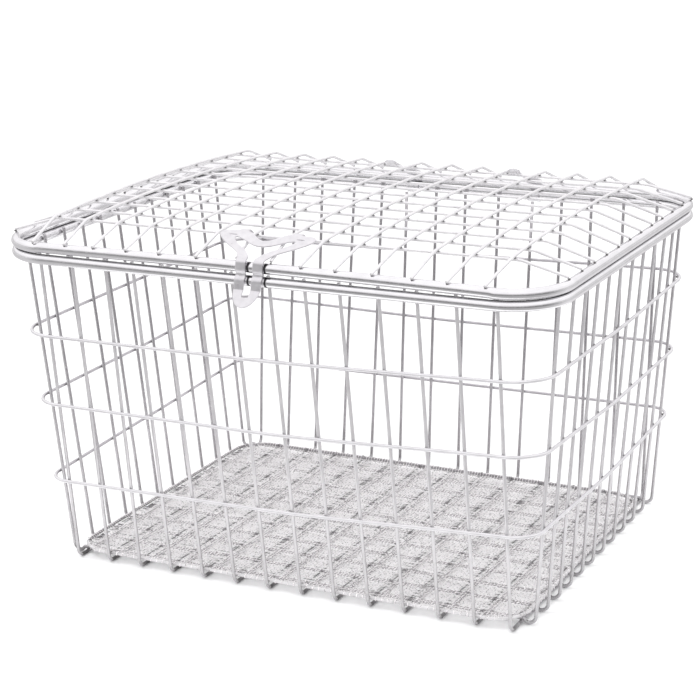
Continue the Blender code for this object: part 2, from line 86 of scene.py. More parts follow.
LID_FB_END_PITCH, LID_FB_FRONT_PITCH, LID_FB_BACK_PITCH = 30.75, 31.5, 30.9
LID_END_Z = LID_RIM_Z + RIM_R + LID_R + GAP
LID_FRONT_SET = (-6, -6, -9.3, -8.7, -8.5, -4.7, 0, 0, -3.6, -4.8, -4.1, -1.3, -3.3, -3.3)
LID_BACK_SET = (4, 4, 4, 4, 4, 0, 4, 4, 4, 0, 4, 4, 4, 4)
LID_FRONT_OVER, LID_BACK_OVER = (3.6, 1.0), (2.0, 0.3)
LID_FRONT_Y, LID_BACK_Y = -158.5, 158.0
LID_SHOULDER_Z, LID_CROWN = 302.6, 5.2
LID_BEND = 9.0
LID_LR_PITCH, LID_LR_SHIFT = 26.9, -3.9
LID_LR_END_PITCH, LID_LR_LEFT_SHIFT, LID_LR_RIGHT_SHIFT = 27.8, -3.9, 8.7
LID_LR_DROP = 2 * LID_R + GAP
LID_SIDE_X = 207.5
SHEET = 1.2
CLASP_X = -2.0
CLASP_LEAN = 0.14
CLASP_STRAP_HALF, CLASP_WINDOW_HALF = 12.0, 3.2
CLASP_EARS = (19.5, 28.0)
HINGE_STRAPS = (-40.5, 83.0)
HINGE_STRAP_HALF = 6.0
EYE_INNER_R = 4.9
T1_Y = -(N_LR - 1) / 2 * LID_LR_PITCH + LID_LR_SHIFT


# ------------------------------------------------------------------ paths, as the part has them
def rounded_path(corners, radii, step=9.0):
    corners = [Vector(c) for c in corners]
    out = [corners[0]]
    for before, corner, after, radius in zip(corners, corners[1:], corners[2:], radii):
        a, b = (before - corner).normalized(), (after - corner).normalized()
        turn = math.pi - a.angle(b)
        if radius <= 0 or turn < 1e-4:
            out.append(corner)
            continue
        reach = radius * math.tan(turn / 2)
        centre = corner + (a + b).normalized() * (radius / math.cos(turn / 2))
        start, end = corner + a * reach - centre, corner + b * reach - centre
        steps = max(2, round(math.degrees(turn) / step))
        for k in range(steps + 1):
            s = turn * k / steps
            out.append(centre + (start * math.sin(turn - s) + end * math.sin(s)) / math.sin(turn))
    out.append(corners[-1])
    return [tuple(p) for p in out]


def rounded_rectangle(hw, hd, corner, steps=6):
    points = []
    for k, (sx, sy) in enumerate(((1, 1), (-1, 1), (-1, -1), (1, -1))):
        for n in range(steps + 1):
            angle = math.radians(90 * k + 90 * n / steps)
            points.append((sx * (hw - corner) + corner * math.cos(angle), sy * (hd - corner) + corner * math.sin(angle)))
    return points


def walls(z, outward=0.0):
    t = (z - FB_FLOOR_Z) / (TAPER_Z - FB_FLOOR_Z)
    left, right, front, back = (low + (high - low) * t for low, high in zip(WALLS_LOW, WALLS_HIGH))
    return left - outward, right + outward, front - outward, back + outward


def corner_shift(offset, half):
    inner = RIM_CORNER - RIM_R - WALL_R - GAP
    over = offset - (half - RIM_CORNER)
    return inner - math.sqrt(inner * inner - over * over) if over > 0 else 0.0


def bow(x, y):
    return LID_BOW * max(0.0, 1 - ((x - RIM_X) / RIM_HW) ** 2) if y < RIM_Y else 0.0


def lid_height(y):
    middle, half = (LID_FRONT_Y + LID_BACK_Y) / 2, (LID_BACK_Y - LID_FRONT_Y) / 2
    return LID_SHOULDER_Z + LID_CROWN * (1 - ((y - middle) / half) ** 2)


def wall_fb_path(n):
    front = walls(WALL_TOP_Z)[2]
    k = n - (N_FB - 1) / 2
    x0 = k * FB_BOTTOM_PITCH + FB_BOTTOM_SHIFT
    xf = k * FB_FRONT_PITCH + FB_FRONT_SHIFT + FRONT_UNEVEN[n]
    xb = k * FB_BACK_PITCH + FB_BACK_SHIFT + BACK_UNEVEN[n]
    trimmed = any(abs(xb - x) < HINGE_STRAP_HALF + WALL_R + GAP for x in HINGE_STRAPS)
    top_z = TRIMMED_TOP_Z if trimmed else WALL_TOP_Z
    yb = walls(top_z)[3] - corner_shift(abs(xb - RIM_X), RIM_HW)
    return rounded_path([(xf, front + corner_shift(abs(xf - RIM_X), RIM_HW), WALL_TOP_Z), (x0, WALLS_LOW[2], FB_FLOOR_Z),
                         (x0, WALLS_LOW[3], FB_FLOOR_Z), (xb, yb, top_z)], (FOOT_BEND, FOOT_BEND))


def wall_lr_path(n):
    left, right, front, back = walls(WALL_TOP_Z)
    low_left, low_right = WALLS_LOW[:2]
    k = n - (N_LR - 1) / 2
    left_low = k * LR_LEFT_LOW_PITCH + LR_LEFT_LOW_SHIFT
    left_top = k * LR_LEFT_TOP_PITCH + LR_LEFT_TOP_SHIFT
    right_low = k * LR_RIGHT_LOW_PITCH + LR_RIGHT_LOW_SHIFT
    right_top = k * LR_RIGHT_TOP_PITCH + LR_RIGHT_TOP_SHIFT + RIGHT_UNEVEN[n]
    corners = [(left + corner_shift(abs(left_top - RIM_Y), RIM_HD), left_top, WALL_TOP_Z)]
    for x, z in ((low_left, FB_FLOOR_Z), (-LR_DIP_X - LR_DIP_RUN, FB_FLOOR_Z), (-LR_DIP_X, LR_FLOOR_Z),
                 (LR_DIP_X, LR_FLOOR_Z), (LR_DIP_X + LR_DIP_RUN, FB_FLOOR_Z), (low_right, FB_FLOOR_Z)):
        corners.append((x, left_low + (right_low - left_low) * (x - low_left) / (low_right - low_left), z))
    corners.append((right - corner_shift(abs(right_top - RIM_Y), RIM_HD), right_top, WALL_TOP_Z))
    return rounded_path(corners, (FOOT_BEND, 0.9, 0.9, 0.9, 0.9, FOOT_BEND))


def rim_path(lid):
    loop = [(RIM_X + x, RIM_Y + y) for x, y in rounded_rectangle(RIM_HW, RIM_HD, RIM_CORNER, 18)]
    out = []
    for (x, y), (x1, y1) in zip(loop, loop[1:] + loop[:1]):
        steps = max(1, round(math.dist((x, y), (x1, y1)) / 12))
        parts = [k / steps for k in range(steps)]
        if max(y, y1) < RIM_FRONT + 0.01 and abs(x1 - x) > 100:
            near = [(CLASP_X + 0.8 * m - x) / (x1 - x) for m in range(-24, 32)]
            parts = sorted(near + [t for t in parts if not min(near) - 0.004 < t < max(near) + 0.004])
        for t in parts:
            u, v = x + (x1 - x) * t, y + (y1 - y) * t
            z = LID_RIM_Z + (bow(u, v) if v < RIM_FRONT + 0.01 else 0.0) if lid else BASKET_RIM_Z
            out.append((u, v, z))
    return out


def rim_painted_shade(upper):
    """Painted shade: a dark line where the two rims meet, and painted shadows of the clasp's straps on the rims beside
    them.
    """
    def at(verts, sides):
        rings = len(verts) // sides
        body = verts[:rings * sides].reshape(rings, sides, 3)
        normal = (body - body.mean(1)[:, None]) / RIM_R
        # painted shade along the line where the two rims meet
        meet = np.clip(((-normal[:, :, 2] if upper else normal[:, :, 2]) - 0.87) / 0.08, 0, 1)
        # painted shadows of the straps on the rims, beside each strap edge
        mark = np.zeros(body.shape[:2])
        for edge in (CLASP_X - CLASP_WINDOW_HALF, CLASP_X + CLASP_STRAP_HALF):
            past = body[:, :, 0] - edge + 1.2 - (0.4 if upper else 0.0)
            curl = 1.4 * np.abs(normal[:, :, 2]) ** 2        # wider where the strap lifts off the rod
            here = np.clip((past + 0.6) / 0.6, 0, 1) * np.clip((2.0 + curl - past) / 1.1, 0, 1)
            mark = np.maximum(mark, here)
        mark = mark * np.clip((-normal[:, :, 1] - 0.05) / 0.3, 0, 1) * (body[:, :, 1] < RIM_FRONT + 0.5)
        return np.maximum(0.48 * meet, mark).reshape(-1)
    return at


def ring_height(heights, x, y):
    if abs(x) >= abs(y):
        turn = y / x if x > 0 else 4 + y / x
    else:
        turn = 2 - x / y if y > 0 else 6 - x / y
    k = math.floor(turn)
    t = turn - k
    t = t + 0.35 * (t * t * (3 - 2 * t) - t)
    return heights[k % 8] + (heights[(k + 1) % 8] - heights[k % 8]) * t


def ring_path(corner, heights):
    left, right, front, back = walls(sum(heights) / 8, RING_OFFSET)
    hw, hd = (right - left) / 2, (back - front) / 2
    outline = rounded_rectangle(hw, hd, corner, 12)
    points = []
    for n, (x, y) in enumerate(outline):
        x1, y1 = outline[(n + 1) % len(outline)]
        steps = max(1, round(math.dist((x, y), (x1, y1)) / 12))
        for k in range(steps):
            u, v = x + (x1 - x) * k / steps, y + (y1 - y) * k / steps
            z = ring_height(heights, u / hw, v / hd)
            l, r, f, b = walls(z, RING_OFFSET)
            points.append(((l + r) / 2 + (r - l) / 2 * u / hw, (f + b) / 2 + (b - f) / 2 * v / hd, z))
    return points


def lid_fb_path(k):
    n_parts = 24
    ys = [LID_FRONT_Y + (LID_BACK_Y - LID_FRONT_Y) * n / n_parts for n in range(n_parts + 1)]
    xs = [LID_FB_SHIFT + k * (LID_FB_FRONT_PITCH + (LID_FB_BACK_PITCH - LID_FB_FRONT_PITCH) * n / n_parts) for n in range(n_parts + 1)]
    n_wire = round(k + (N_FB - 1) / 2)
    end = LID_FB_SHIFT + k * LID_FB_END_PITCH + LID_FRONT_SET[n_wire]
    over, down = LID_FRONT_OVER if LID_FRONT_SET[n_wire] else (0, 0)
    corners = [(end, RIM_FRONT - over, LID_END_Z - down + bow(end, RIM_FRONT))]
    corners += [(x, y, lid_height(y)) for x, y in zip(xs, ys)]
    end = LID_FB_SHIFT + k * LID_FB_END_PITCH + LID_BACK_SET[n_wire]
    over, down = LID_BACK_OVER if LID_BACK_SET[n_wire] else (0, 0)
    corners += [(end, RIM_BACK + over, LID_END_Z - down)]
    return rounded_path(corners, [LID_BEND] + [0] * (n_parts - 1) + [LID_BEND], 5.0)


def lid_lr_path(n):
    k = n - (N_LR - 1) / 2
    y, y_end = k * LID_LR_PITCH + LID_LR_SHIFT, k * LID_LR_END_PITCH
    z = lid_height(y) - LID_LR_DROP
    corners = [(RIM_LEFT, y_end + LID_LR_LEFT_SHIFT, LID_END_Z), (-LID_SIDE_X, y, z),
               (LID_SIDE_X, y, z), (RIM_RIGHT, y_end + LID_LR_RIGHT_SHIFT, LID_END_Z)]
    return rounded_path(corners, (LID_BEND, LID_BEND), 4.0)


# ------------------------------------------------------------------ mesh making
def make_object(name, verts, faces, uv=None, weld_and_shade_tint=None, smooth=True, inner=None):
    """verts in part mm, faces as an array or list of index tuples; uv per vertex; the per-vertex tint marks weld burn
    and painted shade.
    """
    mesh = bpy.data.meshes.new(name)
    verts = (np.asarray(verts, float) + SHIFT) * MM
    faces = [tuple(int(i) for i in f) for f in faces]
    fan = np.array([(f[0], f[k], f[k + 1]) for f in faces for k in range(1, len(f) - 1)])
    a, b, c = (verts[fan[:, k]] - verts.mean(0) for k in range(3))
    if (a * np.cross(b, c)).sum() < 0:      # faces look outwards
        faces = [f[::-1] for f in faces]
    mesh.from_pydata([tuple(v) for v in verts], [], faces)
    if uv is not None:
        layer = mesh.uv_layers.new(name="UVMap")
        loops = np.zeros(len(mesh.loops), np.int32)
        mesh.loops.foreach_get("vertex_index", loops)
        layer.data.foreach_set("uv", np.asarray(uv, np.float32)[loops].ravel())
    values = np.zeros(len(verts), np.float32) if weld_and_shade_tint is None else np.asarray(weld_and_shade_tint, np.float32)
    mesh.attributes.new("weld_burn_and_painted_shade", "FLOAT", "POINT").data.foreach_set("value", values)
    # the inner attribute carries the painted shade on the side of a wire that faces into the basket
    if inner is not None:
        mesh.attributes.new("inner", "FLOAT", "POINT").data.foreach_set("value", np.asarray(inner, np.float32))
    if smooth:
        mesh.polygons.foreach_set("use_smooth", [True] * len(mesh.polygons))
    mesh.update()
    obj = bpy.data.objects.new(name, mesh)
    bpy.context.scene.collection.objects.link(obj)
    return obj


def with_rings_at(points, spots, spans=(-3.2, -1.9, -0.8, 0.0, 0.8, 1.9, 3.2), cyclic=False):
    """The polyline with extra points close to each spot, so that a tint there has corners to sit on."""
    P = np.asarray(points, float)
    Q = np.vstack([P, P[:1]]) if cyclic else P
    seg = np.linalg.norm(Q[1:] - Q[:-1], axis=1)
    along = np.concatenate([[0], np.cumsum(seg)])
    total = along[-1]
    stops = list(along[:-1] if cyclic else along)
    for spot in spots:
        d = Q[1:] - Q[:-1]
        t = np.clip(((spot - Q[:-1]) * d).sum(1) / np.maximum((d * d).sum(1), 1e-12), 0, 1)
        near = Q[:-1] + d * t[:, None]
        k = int(np.argmin(np.linalg.norm(near - spot, axis=1)))
        s = along[k] + seg[k] * t[k]
        for span in spans:
            v = s + span
            if cyclic:
                v %= total
            if 0.4 < v < total - 0.4:
                stops.append(v)
    stops = sorted(stops)
    kept = [stops[0]]
    for v in stops[1:]:
        if v - kept[-1] > 0.28:
            kept.append(v)
    if not cyclic:
        kept[-1] = total
    kept = np.array(kept)
    k = np.clip(np.searchsorted(along, kept, side="right") - 1, 0, len(seg) - 1)
    t = (kept - along[k]) / np.maximum(seg[k], 1e-12)
    return Q[k] + (Q[k + 1] - Q[k]) * t[:, None]


def sweep(points, radius, sides, cyclic=False, end_round=0.3):
    """Round tube round a polyline: vertices, faces, uv (u metres along, v turns round)."""
    P = np.asarray(points, float)
    n = len(P)
    if cyclic:
        tangent = np.roll(P, -1, 0) - np.roll(P, 1, 0)
    else:
        tangent = np.vstack([P[1:2] - P[:1], P[2:] - P[:-2], P[-1:] - P[-2:-1]])
    tangent /= np.linalg.norm(tangent, axis=1)[:, None]
    side = np.zeros_like(P)
    if cyclic:
        up = np.array([0, 0, 1.0])
        side = np.cross(tangent, up)
        side /= np.linalg.norm(side, axis=1)[:, None]
    else:
        first = np.cross(tangent[0], (0, 0, 1.0) if abs(tangent[0][2]) < 0.9 else (0, 1.0, 0))
        side[0] = first / np.linalg.norm(first)
        for k in range(1, n):
            s = side[k - 1] - tangent[k] * (side[k - 1] @ tangent[k])
            side[k] = s / np.linalg.norm(s)
    other = np.cross(side, tangent)
    along = np.concatenate([[0], np.cumsum(np.linalg.norm(P[1:] - P[:-1], axis=1))])
    radii = np.full(n, float(radius))
    if not cyclic and end_round > 0:
        a, b = P[0] - tangent[0] * 0, P[-1]
        P = np.vstack([P[:1], P[:1] + tangent[:1] * end_round, P[1:-1], P[-1:] - tangent[-1:] * end_round, P[-1:]])
        side = np.vstack([side[:1], side[:1], side[1:-1], side[-1:], side[-1:]])
        other = np.vstack([other[:1], other[:1], other[1:-1], other[-1:], other[-1:]])
        radii = np.concatenate([[radius - end_round], [radius], radii[1:-1], [radius], [radius - end_round]])
        along = np.concatenate([[0, end_round], along[1:-1], [along[-1] - end_round, along[-1]]])
        n += 2
    angles = np.arange(sides) * 2 * math.pi / sides
    ring = radii[:, None, None] * (np.cos(angles)[None, :, None] * side[:, None] + np.sin(angles)[None, :, None] * other[:, None])
    verts = (P[:, None] + ring).reshape(-1, 3)
    uv = np.stack([np.repeat(along, sides) * MM, np.tile(np.abs(np.arange(sides) / sides * 2 - 1), n)], 1)
    k = np.arange(n if cyclic else n - 1)[:, None]
    j = np.arange(sides)[None, :]
    a = k * sides + j
    b = k * sides + (j + 1) % sides
    c = ((k + 1) % n) * sides + (j + 1) % sides
    d = ((k + 1) % n) * sides + j
    faces = np.stack([a, b, c, d], -1).reshape(-1, 4).tolist()
    if not cyclic:
        base = len(verts)
        verts = np.vstack([verts, P[:1], P[-1:]])
        uv = np.vstack([uv, [[along[0] * MM, 0.5]], [[along[-1] * MM, 0.5]]])
        for j in range(sides):
            faces.append((base, (j + 1) % sides, j))
            faces.append((base + 1, (n - 1) * sides + j, (n - 1) * sides + (j + 1) % sides))
    return verts, faces, uv


def heat_at(verts, spots, reach):
    """1 at a weld, 0 from reach mm on."""
    out = np.zeros(len(verts))
    if len(spots) == 0:
        return out
    spots = np.asarray(spots, float)
    for a in range(0, len(verts), 4000):
        d = np.linalg.norm(verts[a:a + 4000, None] - spots[None], axis=2).min(1)
        t = np.clip(1 - d / reach, 0, 1)
        out[a:a + 4000] = t * t * (3 - 2 * t)
    return out


def feet_painted_shade(verts, sides):
    """Painted shade where the feet turn in under the floor, at the front and on the right and left, and on the low
    floor wires beneath the cloth; the wires also grow darker towards the bottom.
    """
    x, y, z = verts.T
    # painted shade where each wire turns in under the floor, at the front and the sides
    front = np.clip((y + 164.0) / 2.0, 0, 1) * np.clip((-148.0 - y) / 5.0, 0, 1)
    sides_too = np.clip((214.5 - np.abs(x)) / 2.0, 0, 1) * np.clip((np.abs(x) - 200.0) / 5.0, 0, 1)
    # painted shade on the low floor wires beneath the cloth
    under = 0.2 * np.clip((3.4 - z) / 0.3, 0, 1) * (np.abs(x) < 214.0) * (y > -160.0) * (y < 152.0)
    # darker towards the bottom of the walls
    low = 0.31 * np.clip((100.0 - z) / 70.0, 0, 1)
    return np.maximum(np.maximum(0.65 * front, 0.3 * sides_too) * np.clip((7.0 - z) / 2.0, 0, 1), np.maximum(under, low))


def near_spots(points, spots, reach=8.0):
    """The spots that lie within reach of this polyline."""
    if len(spots) == 0:
        return []
    P = np.asarray(points, float)
    d = P[1:] - P[:-1]
    out = []
    for spot in spots:
        t = np.clip(((spot - P[:-1]) * d).sum(1) / np.maximum((d * d).sum(1), 1e-12), 0, 1)
        if np.linalg.norm(P[:-1] + d * t[:, None] - spot, axis=1).min() < reach:
            out.append(spot)
    return out


def inner_side_shade(verts, sides):
    """Painted shade: 0 on the side of a wire that faces out of the basket, 1 on the side that faces into it, which is
    painted darker as shade.
    """
    rings = len(verts) // sides
    body = verts[:rings * sides].reshape(rings, sides, 3)
    centre = body.mean(1)
    normal = body - centre[:, None]
    normal /= np.maximum(np.linalg.norm(normal, axis=2), 1e-9)[:, :, None]
    out = np.stack([((centre[:, 0] - RIM_X) / 225.0) ** 3, ((centre[:, 1] + 3.0) / 170.0) ** 3], 1)
    out /= np.maximum(np.linalg.norm(out, axis=1), 1e-9)[:, None]
    inward = -(normal[:, :, :2] * out[:, None]).sum(2)
    t = np.clip((inward + 0.15) / 0.7, 0, 1)
    t = t * t * (3 - 2 * t)
    low = np.clip((7.5 - centre[:, 2]) / 2.0, 0, 1)[:, None]
    t = t * (1 - low) + 0.45 * low
    return np.concatenate([t.reshape(-1), np.full(len(verts) - rings * sides, 0.5)])


def tube(name, points, radius, sides, material, body, node, spots=(), cyclic=False, reach=3.4, end_round=0.3, extra=None, weld=0.42):
    loop = list(points) + [points[0]] if cyclic else points
    mine = near_spots(loop, spots, radius + 3.0)
    path = with_rings_at(points, mine, cyclic=cyclic) if mine else np.asarray(points, float)
    verts, faces, uv = sweep(path, radius, sides, cyclic, end_round)
    weld_and_shade_tint = weld * heat_at(verts, mine, reach)
    # extra lays painted shade over the weld tint
    if extra is not None:
        weld_and_shade_tint = np.maximum(weld_and_shade_tint, extra(verts, sides))
    obj = make_object(name, verts, faces, uv, weld_and_shade_tint, inner=inner_side_shade(verts, sides))
    obj.data.materials.append(material)
    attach(obj, body)
    if node:
        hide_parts(node)
    return obj


def closest(path_a, path_b, limit=6.0, apart=12.0):
    """Places where two polylines pass each other closer than limit: (point on a, point on b)."""
    def dense(path):
        P = np.asarray(path, float)
        out = []
        for a, b in zip(P, P[1:]):
            steps = max(1, int(np.linalg.norm(b - a) / 1.0))
            for k in range(steps):
                out.append(a + (b - a) * k / steps)
        out.append(P[-1])
        return np.array(out)
    A, B = dense(path_a), dense(path_b)
    found = []
    near = np.full(len(A), 1e9)
    which = np.zeros(len(A), int)
    for a in range(0, len(A), 500):
        d = np.linalg.norm(A[a:a + 500, None] - B[None], axis=2)
        which[a:a + 500] = d.argmin(1)
        near[a:a + 500] = d.min(1)
    order = np.argsort(near)
    for k in order:
        if near[k] > limit:
            break
        if all(np.linalg.norm(A[k] - p) > apart for p, _ in found):
            found.append((A[k], B[which[k]]))
    return found


def blobs(name, spots, material, body, seed, jitter=0.12):
    """Small weld nuggets, each a squashed bead between the two wires it joins: spots are (point a, point b, radius)."""
    rng = random.Random(seed)
    rows, cols = 4, 7
    verts, faces, weld_and_shade_tint = [], [], []
    for a, b, size in spots:
        a, b = np.asarray(a, float), np.asarray(b, float)
        axis = b - a
        axis = axis / max(np.linalg.norm(axis), 1e-9)
        side = np.cross(axis, (0.31, 0.77, 0.55))
        side /= np.linalg.norm(side)
        other = np.cross(axis, side)
        centre = (a + b) / 2
        base = len(verts)
        verts.append(centre - axis * size * 0.72)
        for r in range(1, rows):
            phi = math.pi * r / rows
            for c in range(cols):
                turn = 2 * math.pi * c / cols
                w = size * (1 + rng.uniform(-jitter, jitter))
                verts.append(centre - axis * size * 0.72 * math.cos(phi) + (side * math.cos(turn) + other * math.sin(turn)) * w * math.sin(phi))
        verts.append(centre + axis * size * 0.72)
        last = len(verts) - 1
        for c in range(cols):
            d = (c + 1) % cols
            faces.append((base, base + 1 + d, base + 1 + c))
            faces.append((last, last - cols + c, last - cols + d))
            for r in range(rows - 2):
                p = base + 1 + r * cols
                faces.append((p + c, p + d, p + cols + d, p + cols + c))
    obj = make_object(name, verts, faces, None, np.ones(len(verts)))
    obj.data.materials.append(material)
    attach(obj, body)
    return obj


# ------------------------------------------------------------------ materials
def node(tree, kind, **values):
    made = tree.nodes.new(kind)
    for key, value in values.items():
        setattr(made, key, value)
    return made


def steel(name, low, high, rough_low, rough_high, burnt_and_shade_colour=(0.12, 0.115, 0.115), streak=(55.0, 16.0), bump=0.04, burnt_and_shade_rough=0.4, use_uv=True, cloud=90.0, metal=1.0, span=(0.30, 0.72), inside_shade=None):
    """Bright drawn stainless: streaks along the wire, patches, darker and duller where it was welded and where painted
    shade is laid; an optional tone paints the side that faces into the basket darker, as shade.
    """
    material = bpy.data.materials.new(name)
    material.use_nodes = True
    tree = material.node_tree
    link = tree.links.new
    shader = tree.nodes["Principled BSDF"]
    shader.inputs["Metallic"].default_value = metal
    coords = node(tree, "ShaderNodeTexCoord")
    mapping = node(tree, "ShaderNodeMapping")
    mapping.inputs["Scale"].default_value = (streak[0], streak[1], 1.0) if use_uv else (streak[0],) * 3
    link(coords.outputs["UV" if use_uv else "Object"], mapping.inputs["Vector"])
    lines = node(tree, "ShaderNodeTexNoise")
    lines.inputs["Scale"].default_value = 1.0
    lines.inputs["Detail"].default_value = 4.0
    link(mapping.outputs[0], lines.inputs["Vector"])
    patches = node(tree, "ShaderNodeTexNoise")
    patches.inputs["Scale"].default_value = cloud
    patches.inputs["Detail"].default_value = 3.0
    link(coords.outputs["Object"], patches.inputs["Vector"])
    both = node(tree, "ShaderNodeMath", operation="ADD")
    link(lines.outputs["Fac"], both.inputs[0])
    link(patches.outputs["Fac"], both.inputs[1])
    ramp = node(tree, "ShaderNodeValToRGB")
    ramp.color_ramp.elements[0].position, ramp.color_ramp.elements[1].position = span
    ramp.color_ramp.elements[0].color, ramp.color_ramp.elements[1].color = (*low, 1), (*high, 1)
    half = node(tree, "ShaderNodeMath", operation="MULTIPLY")
    half.inputs[1].default_value = 0.5
    link(both.outputs[0], half.inputs[0])
    link(half.outputs[0], ramp.inputs["Fac"])
    # weld burn and painted shade both mix in the dark colour below
    weld_and_shade_tint = node(tree, "ShaderNodeAttribute", attribute_name="weld_burn_and_painted_shade")
    spots = node(tree, "ShaderNodeMapRange")
    spots.inputs["From Min"].default_value, spots.inputs["From Max"].default_value = 0.15, 0.75
    uneven = node(tree, "ShaderNodeMath", operation="MULTIPLY_ADD")
    uneven.inputs[1].default_value, uneven.inputs[2].default_value = 0.5, -0.25
    link(patches.outputs["Fac"], uneven.inputs[0])
    total = node(tree, "ShaderNodeMath", operation="ADD")
    link(weld_and_shade_tint.outputs["Fac"], total.inputs[0])
    link(uneven.outputs[0], total.inputs[1])
    link(total.outputs[0], spots.inputs["Value"])
    mix = node(tree, "ShaderNodeMix", data_type="RGBA")
    link(spots.outputs[0], mix.inputs["Factor"])
    link(ramp.outputs["Color"], mix.inputs["A"])
    mix.inputs["B"].default_value = (*burnt_and_shade_colour, 1)
    # painted shade on the side of a wire that faces into the basket: darker colour and less metallic
    if inside_shade:
        turned = node(tree, "ShaderNodeAttribute", attribute_name="inner")
        tone = node(tree, "ShaderNodeMix", data_type="RGBA", blend_type="MULTIPLY")
        link(turned.outputs["Fac"], tone.inputs["Factor"])
        link(mix.outputs["Result"], tone.inputs["A"])
        tone.inputs["B"].default_value = (*inside_shade[:3], 1)
        link(tone.outputs["Result"], shader.inputs["Base Color"])
        shaded_metallic = node(tree, "ShaderNodeMapRange")
        shaded_metallic.inputs["To Min"].default_value, shaded_metallic.inputs["To Max"].default_value = metal, inside_shade[3]
        link(turned.outputs["Fac"], shaded_metallic.inputs["Value"])
        link(shaded_metallic.outputs[0], shader.inputs["Metallic"])
    else:
        link(mix.outputs["Result"], shader.inputs["Base Color"])
    rough = node(tree, "ShaderNodeMapRange")
    rough.inputs["From Min"].default_value, rough.inputs["From Max"].default_value = 0.3, 0.7
    rough.inputs["To Min"].default_value, rough.inputs["To Max"].default_value = rough_low, rough_high
    link(half.outputs[0], rough.inputs["Value"])
    dull = node(tree, "ShaderNodeMix", data_type="FLOAT")
    link(spots.outputs[0], dull.inputs["Factor"])
    link(rough.outputs[0], dull.inputs["A"])
    dull.inputs["B"].default_value = burnt_and_shade_rough
    link(dull.outputs["Result"], shader.inputs["Roughness"])
    if bump:
        raised = node(tree, "ShaderNodeBump")
        raised.inputs["Strength"].default_value = bump
        raised.inputs["Distance"].default_value = 0.0002
        link(lines.outputs["Fac"], raised.inputs["Height"])
        link(raised.outputs[0], shader.inputs["Normal"])
    material.diffuse_color = (*high, 1)
    return material


# These tones paint the side of a wire that faces into the basket darker and less metallic, as shade.
WALL_STEEL = steel("wall_wire_drawn_steel", (0.56, 0.55, 0.565), (0.75, 0.74, 0.755), 0.13, 0.26, metal=0.5, inside_shade=(0.84, 0.83, 0.84, 0.88))
RING_STEEL = steel("ring_wire_drawn_steel", (0.66, 0.65, 0.67), (0.86, 0.85, 0.87), 0.12, 0.24, metal=0.6, inside_shade=(0.80, 0.79, 0.80, 0.95))
FRAME_STEEL = steel("floor_frame_drawn_steel", (0.60, 0.59, 0.60), (0.84, 0.83, 0.84), 0.2, 0.4, metal=0.4, inside_shade=(0.48, 0.47, 0.48, 0.9))
LID_STEEL = steel("lid_wire_drawn_steel", (0.72, 0.71, 0.73), (0.92, 0.91, 0.92), 0.12, 0.22, metal=0.55)
# The rim's dark tone is used only as painted shade: the line where the two rims meet and the shadows of the clasp's
# straps.
RIM_STEEL = steel("rim_rod_polished_steel", (0.80, 0.795, 0.81), (0.95, 0.945, 0.96), 0.07, 0.15, streak=(30.0, 22.0), bump=0.03, burnt_and_shade_colour=(0.05, 0.049, 0.052))
WELD_STEEL = steel("weld_nugget_steel", (0.16, 0.15, 0.15), (0.34, 0.33, 0.33), 0.35, 0.55, streak=(900.0, 900.0), bump=0.3, use_uv=False, burnt_and_shade_colour=(0.22, 0.21, 0.21))
# The cloth's dark tone is used only as painted shade, along the wires that lie under the cloth.
CLOTH_STEEL = steel("wire_cloth_steel", (0.31, 0.29, 0.30), (1.0, 0.972, 0.985), 0.16, 0.30, streak=(700.0, 700.0), bump=0.0, use_uv=False, cloud=520.0, burnt_and_shade_colour=(0.04, 0.036, 0.038), metal=0.0, span=(0.40, 0.49))
SHEET_STEEL = steel("stamped_sheet_steel", (0.67, 0.655, 0.68), (0.80, 0.79, 0.81), 0.26, 0.38, streak=(260.0, 260.0), bump=0.06, use_uv=False, cloud=140.0, metal=0.80)
HINGE_STEEL = steel("hinge_sheet_steel", (0.70, 0.69, 0.71), (0.86, 0.85, 0.87), 0.22, 0.34, streak=(260.0, 260.0), bump=0.05, use_uv=False, cloud=140.0, metal=0.8)

# ------------------------------------------------------------------ where the wires meet
fb_paths = [wall_fb_path(n) for n in range(N_FB)]
lr_paths = [wall_lr_path(n) for n in range(N_LR)]
ring_paths = [ring_path(corner, heights) for _, corner, heights in RINGS]
lid_fbs = [lid_fb_path(n - (N_FB - 1) / 2) for n in range(N_FB)]
lid_lrs = [lid_lr_path(n) for n in range(N_LR)]

basket_spots, lid_spots = [], []          # (point, point, bead size)
for path in fb_paths + lr_paths:
    for ring in ring_paths:
        for a, b in closest(path, ring + ring[:1], 4.6):
            basket_spots.append((a, b, 1.15))
for path, leg in [(p, q) for p in fb_paths + lr_paths for q in (0, -1)]:
    tip = np.array(path[leg])
    away = tip - np.array([RIM_X, RIM_Y, tip[2]])
    # the nearest point of the rim's middle line
    loop = np.array(rim_path(False))
    rim = loop[np.argmin(np.linalg.norm(loop[:, :2] - tip[:2], axis=1))]
    if tip[2] > BASKET_RIM_Z:
        flat = np.array([tip[0], tip[1], BASKET_RIM_Z])
        out = np.array([rim[0] - tip[0], rim[1] - tip[1], 0.0])
        if abs(out[0]) > abs(out[1]):
            out = np.array([np.sign(out[0]), 0, 0]) if abs(tip[1] - RIM_Y) < RIM_HD - RIM_CORNER else out / np.linalg.norm(out)
        else:
            out = np.array([0, np.sign(out[1]), 0]) if abs(tip[0] - RIM_X) < RIM_HW - RIM_CORNER else out / np.linalg.norm(out)
        basket_spots.append((flat + out * WALL_R, flat + out * (WALL_R + GAP), 1.3))
